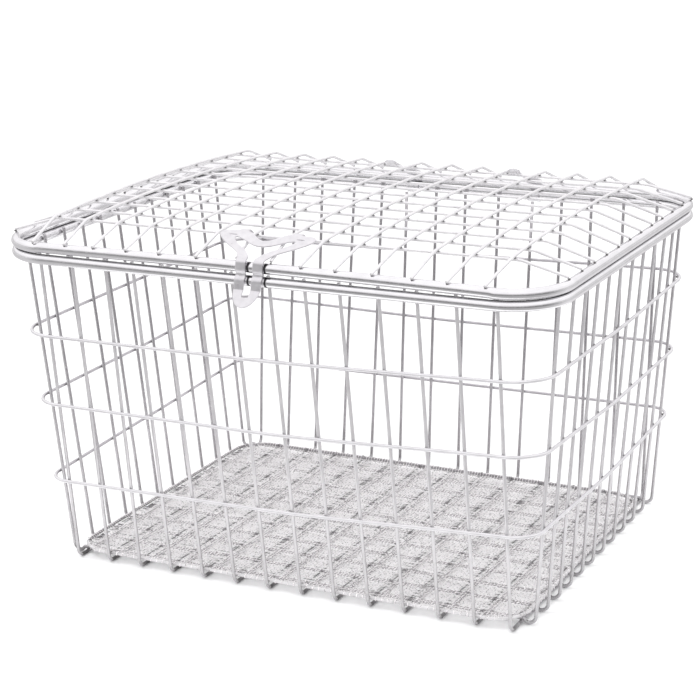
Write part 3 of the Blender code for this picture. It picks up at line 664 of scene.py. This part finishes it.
for fb in fb_paths:
    x0 = fb[len(fb) // 2][0]
    for n in range(N_LR):
        k = n - (N_LR - 1) / 2
        yl = k * LR_LEFT_LOW_PITCH + LR_LEFT_LOW_SHIFT
        yr = k * LR_RIGHT_LOW_PITCH + LR_RIGHT_LOW_SHIFT
        y = yl + (yr - yl) * (x0 - WALLS_LOW[0]) / (WALLS_LOW[1] - WALLS_LOW[0])
        basket_spots.append(((x0, y, FB_FLOOR_Z + WALL_R), (x0, y, LR_FLOOR_Z - WALL_R), 1.2))
for n in range(N_FB):
    k = n - (N_FB - 1) / 2
    for m in range(N_LR):
        y = (m - (N_LR - 1) / 2) * LID_LR_PITCH + LID_LR_SHIFT
        t = (y - LID_FRONT_Y) / (LID_BACK_Y - LID_FRONT_Y)
        x = LID_FB_SHIFT + k * (LID_FB_FRONT_PITCH + (LID_FB_BACK_PITCH - LID_FB_FRONT_PITCH) * t)
        z = lid_height(y)
        lid_spots.append(((x, y, z - LID_R), (x, y, z - LID_R - GAP), 1.15))
    for end, rim_y in ((0, RIM_FRONT), (-1, RIM_BACK)):
        tip = np.array(lid_fbs[n][end])
        down = np.array([tip[0], rim_y, LID_RIM_Z + bow(tip[0], rim_y)]) - tip
        down /= np.linalg.norm(down)
        lid_spots.append((tip + down * LID_R, tip + down * (LID_R + GAP), 0.8))
for path in lid_lrs:
    for x, y, z in (path[0], path[-1]):
        lid_spots.append(((x, y, z - LID_R), (x, y, z - LID_R - GAP), 1.2))

basket_points = np.array([(np.asarray(a) + np.asarray(b)) / 2 for a, b, _ in basket_spots])
lid_points = np.array([(np.asarray(a) + np.asarray(b)) / 2 for a, b, _ in lid_spots])

# ------------------------------------------------------------------ basket
for n, path in enumerate(fb_paths):
    tube(f"basket_wire_front_to_back_{n + 1:02d}", path, WALL_R, 14, WALL_STEEL, "basket", f"wall_wire_fb_{n + 1:02d}", basket_points, extra=feet_painted_shade)
for n, path in enumerate(lr_paths):
    tube(f"basket_wire_side_to_side_{n + 1:02d}", path, WALL_R, 14, WALL_STEEL, "basket", f"wall_wire_lr_{n + 1:02d}", basket_points, extra=feet_painted_shade)
for (name, _, _), path in zip(RINGS, ring_paths):
    tube(name + "_round", path, WALL_R, 16, RING_STEEL, "basket", name, basket_points, cyclic=True)
frame_middle, frame_depth = (FRAME_FRONT + FRAME_BACK) / 2, (FRAME_BACK - FRAME_FRONT) / 2
frame_loop = [(x, y + frame_middle, FRAME_Z) for x, y in rounded_rectangle(FRAME_HW, frame_depth, FRAME_CORNER, 14)]
tube("floor_frame_round", frame_loop, WALL_R, 16, FRAME_STEEL, "basket", "floor_frame", cyclic=True)
tube("basket_rim_round", rim_path(False), RIM_R, 36, RIM_STEEL, "basket", "basket_rim", (), cyclic=True, reach=2.6, extra=rim_painted_shade(False))
blobs("basket_weld_beads", basket_spots, WELD_STEEL, "basket", 3)


# ------------------------------------------------------------------ woven floor
CLOTH_PITCH, CLOTH_R = 2.9, 0.27


def cloth_edge(v, half, other_half, corner):
    """Half length of the cloth at this offset from its middle, with its rounded corners."""
    over = abs(v) - (half - corner)
    return other_half - (corner - math.sqrt(max(corner * corner - over * over, 0.0)) if over > 0 else 0.0)


def cloth_height(x, y):
    """The cloth rests on the side-to-side wires and hangs a little between them."""
    u = math.sin(math.pi * (y - 2.0) / 26.8 + math.pi / 2) ** 2
    v = math.sin(math.pi * (x - 0.5) / 31.4) ** 2
    return MESH_Z - 0.38 * u * (0.45 + 0.55 * v) + 0.14 * math.sin(x * 0.061 + 1.3) * math.sin(y * 0.083 + 0.4)


def cloth_painted_shade(verts, rng):
    """Painted shade: dull dark dashed lines where the cloth lies on the wires below it."""
    x, y = verts[:, 0], verts[:, 1]
    k = (x - FB_BOTTOM_SHIFT) / FB_BOTTOM_PITCH - 0.5
    dx = (k - np.round(k)) * FB_BOTTOM_PITCH
    m = (y - 0.0) / 26.8 - 0.5
    dy = (m - np.round(m)) * 26.8
    tick_y = np.clip(0.72 + 0.9 * np.sin(y * 0.93 + 1.7 * np.round(k)) + 0.7 * np.sin(y * 2.31 + np.round(k)), 0, 1)
    tick_x = np.clip(0.30 + 0.9 * np.sin(x * 0.81 + 2.3 * np.round(m)) + 0.7 * np.sin(x * 1.97 + np.round(m)), 0, 1)
    return np.maximum(0.95 * tick_y * np.exp(-(dx / 2.0) ** 4), 0.62 * tick_x * np.exp(-(dy / 1.4) ** 4))


def cloth(name, along_x, low, high):
    rng = random.Random(11 if along_x else 17)
    hw, hd, corner = FRAME_HW - WALL_R - 0.3, frame_depth - WALL_R - 0.3, FRAME_CORNER - WALL_R
    half, other = (hd, hw) if along_x else (hw, hd)
    lines = int(2 * half / CLOTH_PITCH)
    crossings = int(2 * other / CLOTH_PITCH)
    all_verts, all_faces, all_cloth_shade = [], [], []
    count = 0
    drift = [rng.uniform(-0.16, 0.16) for _ in range(lines)]
    for j in range(lines):
        v = -half + (j + 0.5) * 2 * half / lines
        if not low <= (j + 0.5) / lines < high:
            continue
        limit = cloth_edge(v, half, other, corner)
        points = []
        for i in range(crossings):
            u = -other + (i + 0.5) * 2 * other / crossings
            if abs(u) > limit - 0.6:
                continue
            sign = 1 if (i + j) % 2 else -1
            if not along_x:
                sign = -sign
            w = v + drift[j] + 0.13 * math.sin(u * 0.09 + j * 1.7)
            x, y = (u, w + frame_middle) if along_x else (w, u + frame_middle)
            points.append((x, y, cloth_height(x, y) + sign * CLOTH_R * 0.86))
        if len(points) < 3:
            continue
        # every wire is turned over the frame wire, every other one skewed the other way
        if True:
            over = FRAME_Z + WALL_R + CLOTH_R
            for end, s in ((0, -1), (-1, 1)):
                reach = limit + 0.3 + WALL_R
                loop = [(reach - 1.75, FRAME_Z + 0.9), (reach - 0.9, over - 0.28), (reach + 0.2, over), (reach + 1.3, over - 0.55), (reach + 1.85, FRAME_Z + 0.2), (reach + 1.7, FRAME_Z - 1.2)]
                x0, y0, _ = points[end]
                extra = []
                for d, z in loop:
                    skew = (0.6 if j % 2 else -0.6) * max(0.0, d - reach + 1)
                    if along_x:
                        extra.append((s * d, y0 + skew, z))
                    else:
                        extra.append((x0 + skew, s * d + frame_middle, z))
                points = extra[::-1] + points if end == 0 else points + extra
        verts, faces, _ = sweep(points, CLOTH_R, 5, False, 0)
        all_verts.append(verts)
        all_cloth_shade.append(cloth_painted_shade(verts, rng))
        all_faces += [tuple(i + count for i in f) for f in faces]
        count += len(verts)
    obj = make_object(name, np.vstack(all_verts), all_faces, None, np.concatenate(all_cloth_shade))
    obj.data.materials.append(CLOTH_STEEL)
    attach(obj, "basket")
    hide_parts("mesh_floor")
    return obj


cloth("floor_cloth_weft_front", True, 0.0, 0.5)
cloth("floor_cloth_weft_back", True, 0.5, 1.0)
cloth("floor_cloth_warp_left", False, 0.0, 0.5)
cloth("floor_cloth_warp_right", False, 0.5, 1.0)

# ------------------------------------------------------------------ lid
for n, path in enumerate(lid_fbs):
    tube(f"lid_wire_front_to_back_{n + 1:02d}", path, LID_R, 14, LID_STEEL, "lid", f"lid_wire_fb_{n + 1:02d}", lid_points, reach=4.2, weld=0.44)
for n, path in enumerate(lid_lrs):
    last = n == N_LR - 1
    obj = tube("hinge_cross_wire" if last else f"lid_wire_side_to_side_{n + 1:02d}", path, LID_R, 14, LID_STEEL, "lid",
               "hinge_bar" if last else f"lid_wire_lr_{n + 1:02d}", lid_points, reach=4.0, weld=0.48)
tube("lid_rim_round", rim_path(True), RIM_R, 36, RIM_STEEL, "lid", "lid_rim", (), cyclic=True, reach=2.6, extra=rim_painted_shade(True))
blobs("lid_weld_beads", lid_spots, WELD_STEEL, "lid", 5)


# ------------------------------------------------------------------ bent sheet pieces
def arc(centre, radius, start, end, step=6.0):
    count = max(2, round(abs(end - start) / step))
    return [(centre[0] + radius * math.cos(math.radians(start + (end - start) * k / count)),
             centre[1] + radius * math.sin(math.radians(start + (end - start) * k / count))) for k in range(count + 1)]


def normals_of(path):
    out = []
    for n in range(len(path)):
        sides = []
        for a, b in ((n - 1, n), (n, n + 1)):
            if 0 <= a and b < len(path):
                d = (Vector(path[b]) - Vector(path[a])).normalized()
                sides.append(Vector((-d.y, d.x)))
        normal = sum(sides, Vector((0, 0))).normalized()
        out.append(normal / normal.dot(sides[0]))
    return out


def smooth_outline(points, times=2):
    """Rounds an outline by cutting its corners; points given as (x, s, True) stay sharp."""
    for _ in range(times):
        out = []
        n = len(points)
        for k in range(n):
            p, q = points[k], points[(k + 1) % n]
            if len(p) > 2:
                out.append(p)
            else:
                out.append((p[0] * 0.75 + q[0] * 0.25, p[1] * 0.75 + q[1] * 0.25)) if True else None
            if len(q) > 2:
                continue
            out.append((p[0] * 0.25 + q[0] * 0.75, p[1] * 0.25 + q[1] * 0.75))
        points = out
    return [(p[0], p[1]) for p in points]


def bent_piece(name, outlines, path, x_middle, material, lean=None, edge=0.26):
    """A flat blank with rounded edges, cut to its outlines (x, distance along), then folded along path in (y, z)."""
    along = [0.0]
    for a, b in zip(path, path[1:]):
        along.append(along[-1] + math.dist(a, b))
    total = along[-1]
    curve = bpy.data.curves.new(name + "_blank", "CURVE")
    curve.dimensions = "2D"
    curve.fill_mode = "BOTH"
    curve.extrude = (SHEET / 2 - edge) * MM
    curve.bevel_depth = edge * MM
    curve.bevel_resolution = 1
    curve.offset = -edge * MM
    for outline in outlines:
        spline = curve.splines.new("POLY")
        spline.points.add(len(outline) - 1)
        for place, (x, s) in zip(spline.points, outline):
            place.co = (x * MM, s * MM, 0.0, 1.0)
        spline.use_cyclic_u = True
    blank = bpy.data.objects.new(name + "_blank", curve)
    bpy.context.scene.collection.objects.link(blank)
    bpy.context.view_layer.update()
    graph = bpy.context.evaluated_depsgraph_get()
    mesh = bpy.data.meshes.new_from_object(blank.evaluated_get(graph))
    bpy.data.objects.remove(blank, do_unlink=True)
    bm = bmesh.new()
    bm.from_mesh(mesh)
    bpy.data.meshes.remove(mesh)
    bmesh.ops.remove_doubles(bm, verts=bm.verts, dist=2e-6)
    for s in along[1:-1]:
        bmesh.ops.bisect_plane(bm, geom=bm.verts[:] + bm.edges[:] + bm.faces[:], plane_co=(0, s * MM, 0), plane_no=(0, 1, 0), dist=1e-7)
    for x in np.arange(-42.0, 42.1, 4.0):
        bmesh.ops.bisect_plane(bm, geom=bm.verts[:] + bm.edges[:] + bm.faces[:], plane_co=(x * MM, 0, 0), plane_no=(1, 0, 0), dist=1e-7)
    sideways = normals_of(path)
    for vert in bm.verts:
        s = min(max(vert.co.y / MM, 0.0), total)
        k = max(n for n in range(len(along) - 1) if along[n] <= s + 1e-6)
        t = min(max((s - along[k]) / (along[k + 1] - along[k]), 0.0), 1.0)
        depth = vert.co.z / MM
        p = (Vector(path[k]) + sideways[k] * depth).lerp(Vector(path[k + 1]) + sideways[k + 1] * depth, t)
        x = vert.co.x / MM + (lean(s) if lean else 0.0) + x_middle
        vert.co = (Vector((x, p.x, p.y)) + Vector(SHIFT)) * MM
    bmesh.ops.remove_doubles(bm, verts=bm.verts, dist=2e-6)
    bmesh.ops.dissolve_degenerate(bm, edges=bm.edges[:], dist=1e-6)
    bmesh.ops.triangulate(bm, faces=[f for f in bm.faces if len(f.verts) > 4])
    bmesh.ops.recalc_face_normals(bm, faces=bm.faces)
    made = bpy.data.meshes.new(name)
    bm.to_mesh(made)
    bm.free()
    made.polygons.foreach_set("use_smooth", [True] * len(made.polygons))
    made.set_sharp_from_angle(angle=math.radians(38))
    made.attributes.new("weld_burn_and_painted_shade", "FLOAT", "POINT")
    obj = bpy.data.objects.new(name, made)
    bpy.context.scene.collection.objects.link(obj)
    obj.data.materials.append(material)
    return obj, along


def clasp_profile():
    around = RIM_R + GAP + SHEET / 2
    lid_z = LID_RIM_Z + bow(CLASP_X, RIM_FRONT)
    end_z = LID_END_Z + bow(CLASP_X, RIM_FRONT)
    face = RIM_FRONT - around
    rise = math.atan2(LID_SHOULDER_Z - end_z, LID_FRONT_Y - RIM_FRONT)
    lift = LID_R + GAP + SHEET / 2
    normal = (-math.sin(rise), math.cos(rise))
    foot = (RIM_FRONT + normal[0] * lift, end_z + normal[1] * lift)
    knee = (face, foot[1] - (foot[0] - face) * math.tan(rise))
    shoulder = (LID_FRONT_Y - 1.0, LID_SHOULDER_Z + lift + 0.15)
    flare = math.radians(30)
    crease_z, tab = BASKET_RIM_Z - 6.6, 14.9
    crease_y = RIM_FRONT - (RIM_R + 0.05 + SHEET / 2)
    tip = (crease_y - tab * math.sin(flare), crease_z - tab * math.cos(flare))
    first = rounded_path([(0, *tip), (0, crease_y, crease_z), (0, *arc((RIM_FRONT, BASKET_RIM_Z), around, 195, 148)[0])], (2.2,), 6.0)
    path = [(p[1], p[2]) for p in first[:-1]]
    path += arc((RIM_FRONT, BASKET_RIM_Z), around, 195, 148)
    angle = math.radians(32)
    middle_z = (lid_z + BASKET_RIM_Z) / 2
    y = RIM_FRONT - around * math.cos(angle)
    z = lid_z - around * math.sin(angle)
    run = (z - middle_z) * math.tan(angle)
    valley = [(y + run * 0.42, middle_z - (z - middle_z) * 0.58), (y + run * 0.72, middle_z), (y + run * 0.42, middle_z + (z - middle_z) * 0.58)]
    path += valley
    path += arc((RIM_FRONT, lid_z), around, 212, 180)
    t1_z = lid_height(T1_Y) - LID_LR_DROP
    bend = rounded_path([(0, *path[-1]), (0, *knee), (0, *shoulder), (0, T1_Y - 3.0, lid_height(T1_Y) + lift)], (3.4, 8.0), 6.0)
    path += [(p[1], p[2]) for p in bend[1:]]
    path += arc((T1_Y, t1_z), LID_R + GAP + SHEET / 2, 53, -205, 9.0)
    return path, foot, tab - 0.3


def clasp_outlines(crease, start, total):
    half_w, window = CLASP_STRAP_HALF, CLASP_WINDOW_HALF
    ear_in, ear_out = CLASP_EARS
    tip = crease + 3.0
    right = [(half_w * math.sin(math.radians(a)), tip - tip * math.cos(math.radians(a))) for a in range(0, 91, 6)]
    slope = ((half_w, -3.5), (13.2, -0.5), (14.6, 1.8), (17.0, 5.0), (21.0, 8.2), (26.5, 11.8), (31.5, 15.2), (36.5, 19.2),
             (40.6, 23.0), (42.6, 26.4), (42.2, 29.4), (39.8, 31.2), (36.5, 31.9), (ear_out + 1.5, 31.9))
    right += [(x, start + s) for x, s in slope]
    right += [(ear_out, start + 32.5, True), (ear_out, total, True), (ear_in, total, True), (ear_in, start + 32.4, True)]
    right += [(x, start + s) for x, s in ((ear_in - 1.2, 31.7), (17.0, 31.4), (13.6, 29.4), (10.0, 26.2), (6.2, 23.3), (2.8, 21.5), (0.0, 21.0))]
    low = crease - 5.6
    hole = [(0.0, low - 0.5), (1.6, low - 0.35), (window - 0.2, low), (window, low + 1.2)]
    hole += [(x, start + s) for x, s in ((window, -3.0), (3.8, -0.6), (5.4, 2.6), (8.2, 6.0), (11.8, 9.2), (16.2, 12.1), (20.6, 15.2),
                                         (24.4, 18.8), (27.2, 22.6), (26.2, 24.0), (22.4, 23.2), (15.2, 19.4), (10.2, 16.5), (5.2, 14.5), (0.0, 13.8))]
    out = []
    for half in (right, hole):
        whole = half + [(-p[0], *p[1:]) for p in half[-2:0:-1]]
        out.append(smooth_outline(whole, 2))
    for side in (-1, 1):
        slot_line = [(side * (30.2 + 3.6 * math.cos(a)), start + 26.1 + 0.62 * math.sin(a) - 0.035 * 3.6 * math.cos(a)) for a in [2 * math.pi * k / 20 for k in range(20)]]
        out.append(slot_line)
    return out


clasp_path, clasp_foot, clasp_crease = clasp_profile()
lengths = [0.0]
for a, b in zip(clasp_path, clasp_path[1:]):
    lengths.append(lengths[-1] + math.dist(a, b))
k = max(n for n, p in enumerate(clasp_path) if p[1] < clasp_foot[1] and p[0] < clasp_foot[0])
clasp_start = lengths[k] + math.dist(clasp_path[k], clasp_foot)
plate, _ = bent_piece("clasp_plate", clasp_outlines(clasp_crease, clasp_start, lengths[-1]), clasp_path, CLASP_X, SHEET_STEEL,
                      lambda s: CLASP_LEAN * min(0.0, s - clasp_start))
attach(plate, "clasp")
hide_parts("clasp")


def hinge_path():
    y, z = (N_LR - 1 - (N_LR - 1) / 2) * LID_LR_PITCH + LID_LR_SHIFT, lid_height(LID_BACK_Y) - LID_LR_DROP
    mid = LID_R + SHEET / 2 - 0.35
    over = RIM_R + GAP + SHEET / 2
    eye = EYE_INNER_R + SHEET / 2
    corners = [(0, y - 4.6, z + 7.4), (0, y - 3.9, z + 4.9), (0, y - 2.4, z + 2.6), (0, y, z + mid), (0, y + 3.0, z + mid - 0.4)]
    top = arc((RIM_BACK, LID_RIM_Z), over, 62, 0)
    bent = rounded_path(corners + [(0, *top[0])], (4.0, 4.0, 3.0, 6.0), 8.0)
    path = [(p[1], p[2]) for p in bent[:-1]] + top
    path += arc((RIM_BACK, BASKET_RIM_Z), eye, 0, -225)
    return path


for n, x in enumerate(HINGE_STRAPS):
    path = hinge_path()
    total = sum(math.dist(a, b) for a, b in zip(path, path[1:]))
    half = HINGE_STRAP_HALF
    outline = [(-half, 4.0), (-half, 2.2), (-half + 0.9, 0.7), (-half + 2.6, 0.0), (half - 2.6, 0.0), (half - 0.9, 0.7), (half, 2.2), (half, 4.0), (half, total), (-half, total)]
    strap, _ = bent_piece(f"hinge_strap_{'left' if n == 0 else 'right'}", [outline[::-1]], path, x, HINGE_STEEL)
    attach(strap, "lid")
    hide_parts("hinge_bar")

# ------------------------------------------------------------------ camera
AZ, EL, ROLL = 0.4392536, 0.3227618, -0.0174975
right = Vector((math.cos(AZ), math.sin(AZ), 0.0))
back = Vector((math.sin(AZ) * math.cos(EL), -math.cos(AZ) * math.cos(EL), math.sin(EL)))
up = back.cross(right)
right_rolled = right * math.cos(ROLL) + up * math.sin(ROLL)
up_rolled = up * math.cos(ROLL) - right * math.sin(ROLL)
camera = bpy.data.objects.new("camera", bpy.data.cameras.new("camera"))
bpy.context.scene.collection.objects.link(camera)
camera.matrix_world = Matrix((
    (right_rolled.x, up_rolled.x, back.x, 0.735466),
    (right_rolled.y, up_rolled.y, back.y, -1.449479),
    (right_rolled.z, up_rolled.z, back.z, 0.643566),
    (0, 0, 0, 1)))
camera.data.sensor_width = 36.0
camera.data.lens = 36.0 * 1921.134 / 700
camera.data.shift_x = -0.1
camera.data.shift_y = 0.1
camera.data.clip_end = 100.0
bpy.context.scene.camera = camera

# ------------------------------------------------------------------ floor, world and lamps
floor = bpy.data.objects.new("studio_floor", bpy.data.meshes.new("studio_floor"))
floor.data.from_pydata([(-30, -30, 0), (30, -30, 0), (30, 30, 0), (-30, 30, 0)], [], [(0, 1, 2, 3)])
paper = bpy.data.materials.new("studio_paper")
paper.use_nodes = True
paper.node_tree.nodes["Principled BSDF"].inputs["Base Color"].default_value = (0.93, 0.93, 0.935, 1)
paper.node_tree.nodes["Principled BSDF"].inputs["Roughness"].default_value = 0.95
paper.node_tree.nodes["Principled BSDF"].inputs["Specular IOR Level"].default_value = 0.1
floor.data.materials.append(paper)
floor.location.z = -0.0002
bpy.context.scene.collection.objects.link(floor)

world = bpy.data.worlds.new("studio")
world.use_nodes = True
world.node_tree.nodes["Background"].inputs["Color"].default_value = (1.0, 1.0, 1.0, 1)
world.node_tree.nodes["Background"].inputs["Strength"].default_value = 1.25
bpy.context.scene.world = world

sun = bpy.data.objects.new("soft_key", bpy.data.lights.new("soft_key", "SUN"))
sun.data.energy = 0.62
sun.data.angle = math.radians(16)
sun.rotation_euler = Vector((-0.62, -0.30, 1.25)).to_track_quat("Z", "Y").to_euler()
bpy.context.scene.collection.objects.link(sun)
sun.visible_glossy = False


def smoothstep(a, b, v):
    t = min(max((v - a) / (b - a), 0.0), 1.0)
    return t * t * (3 - 2 * t)


def glow(direction):
    """Brightness of the studio seen in a reflection along this direction, azimuth counted from the camera's side, to the right."""
    d = Vector(direction).normalized()
    elevation = math.degrees(math.asin(max(-1.0, min(1.0, d.z))))
    ground = Vector((d.x, d.y, 0.0))
    toward = Vector((back.x, back.y, 0.0)).normalized()
    sideways = Vector((math.cos(AZ), math.sin(AZ), 0.0))
    turn = math.degrees(math.atan2(ground.dot(sideways), ground.dot(toward)))
    front = 1 - smoothstep(50, 95, abs(turn))          # the dark side of the room, where the camera stands
    horizon = 0.66 - 0.42 * front
    if elevation >= 0:
        high = smoothstep(4, 16, elevation) * 0.75 + smoothstep(16, 38, elevation) * 0.25
        return horizon + (1.14 - horizon) * high
    # the table: bright near the object, dark past its front edge
    near = smoothstep(5.0, 13.0, -elevation)
    side_light = smoothstep(35, 75, turn) * (1 - smoothstep(120, 160, turn))
    table = 0.68 - 0.18 * front + 0.16 * side_light
    return horizon + (table - horizon) * near


def reflector(name, verts, faces, centre):
    mesh = bpy.data.meshes.new(name)
    mesh.from_pydata(verts, [], faces)
    values = [glow(Vector(v) - Vector(centre)) for v in verts]
    mesh.attributes.new("glow", "FLOAT", "POINT").data.foreach_set("value", values)
    obj = bpy.data.objects.new(name, mesh)
    material = bpy.data.materials.new(name)
    material.use_nodes = True
    tree = material.node_tree
    tree.nodes.clear()
    out = node(tree, "ShaderNodeOutputMaterial")
    emit = node(tree, "ShaderNodeEmission")
    emit.inputs["Color"].default_value = (1.0, 0.985, 1.0, 1)
    value = node(tree, "ShaderNodeAttribute", attribute_name="glow")
    tree.links.new(value.outputs["Fac"], emit.inputs["Strength"])
    tree.links.new(emit.outputs[0], out.inputs["Surface"])
    mesh.materials.append(material)
    bpy.context.scene.collection.objects.link(obj)
    obj.visible_camera = False
    obj.visible_diffuse = False
    obj.visible_shadow = False
    obj.visible_transmission = False
    obj.visible_volume_scatter = False
    return obj


def lattice(rows, cols):
    return [(r * cols + c, r * cols + (c + 1) % cols, (r + 1) * cols + (c + 1) % cols, (r + 1) * cols + c) for r in range(rows - 1) for c in range(cols)]


COLS = 120
dome = []
elevations = [0, 2, 4, 6, 8, 10, 13, 16, 20, 25, 30, 36, 44, 52, 62, 74, 86]
for e in elevations:
    for c in range(COLS):
        a = 2 * math.pi * c / COLS
        dome.append((6 * math.cos(math.radians(e)) * math.cos(a), 6 * math.cos(math.radians(e)) * math.sin(a), 6 * math.sin(math.radians(e)) + 0.15))
dome.append((0, 0, 6.15))
faces = lattice(len(elevations), COLS)
faces += [(len(dome) - 1, (len(elevations) - 1) * COLS + c, (len(elevations) - 1) * COLS + (c + 1) % COLS) for c in range(COLS)]
reflector("studio_dome", dome, faces, (0, 0, 0.15))
radii = [0.40, 0.46, 0.54, 0.64, 0.76, 0.9, 1.1, 1.35, 1.7, 2.2, 3.0, 4.2, 6.0]
disc = [(r * math.cos(2 * math.pi * c / COLS), r * math.sin(2 * math.pi * c / COLS), 0.001) for r in radii for c in range(COLS)]
reflector("studio_table", disc, lattice(len(radii), COLS), (0, 0, 0.15))

bpy.context.scene.view_settings.view_transform = "Standard"
bpy.context.scene.view_settings.look = "None"
bpy.context.scene.view_settings.exposure = 0.0
bpy.context.scene.view_settings.gamma = 1.0
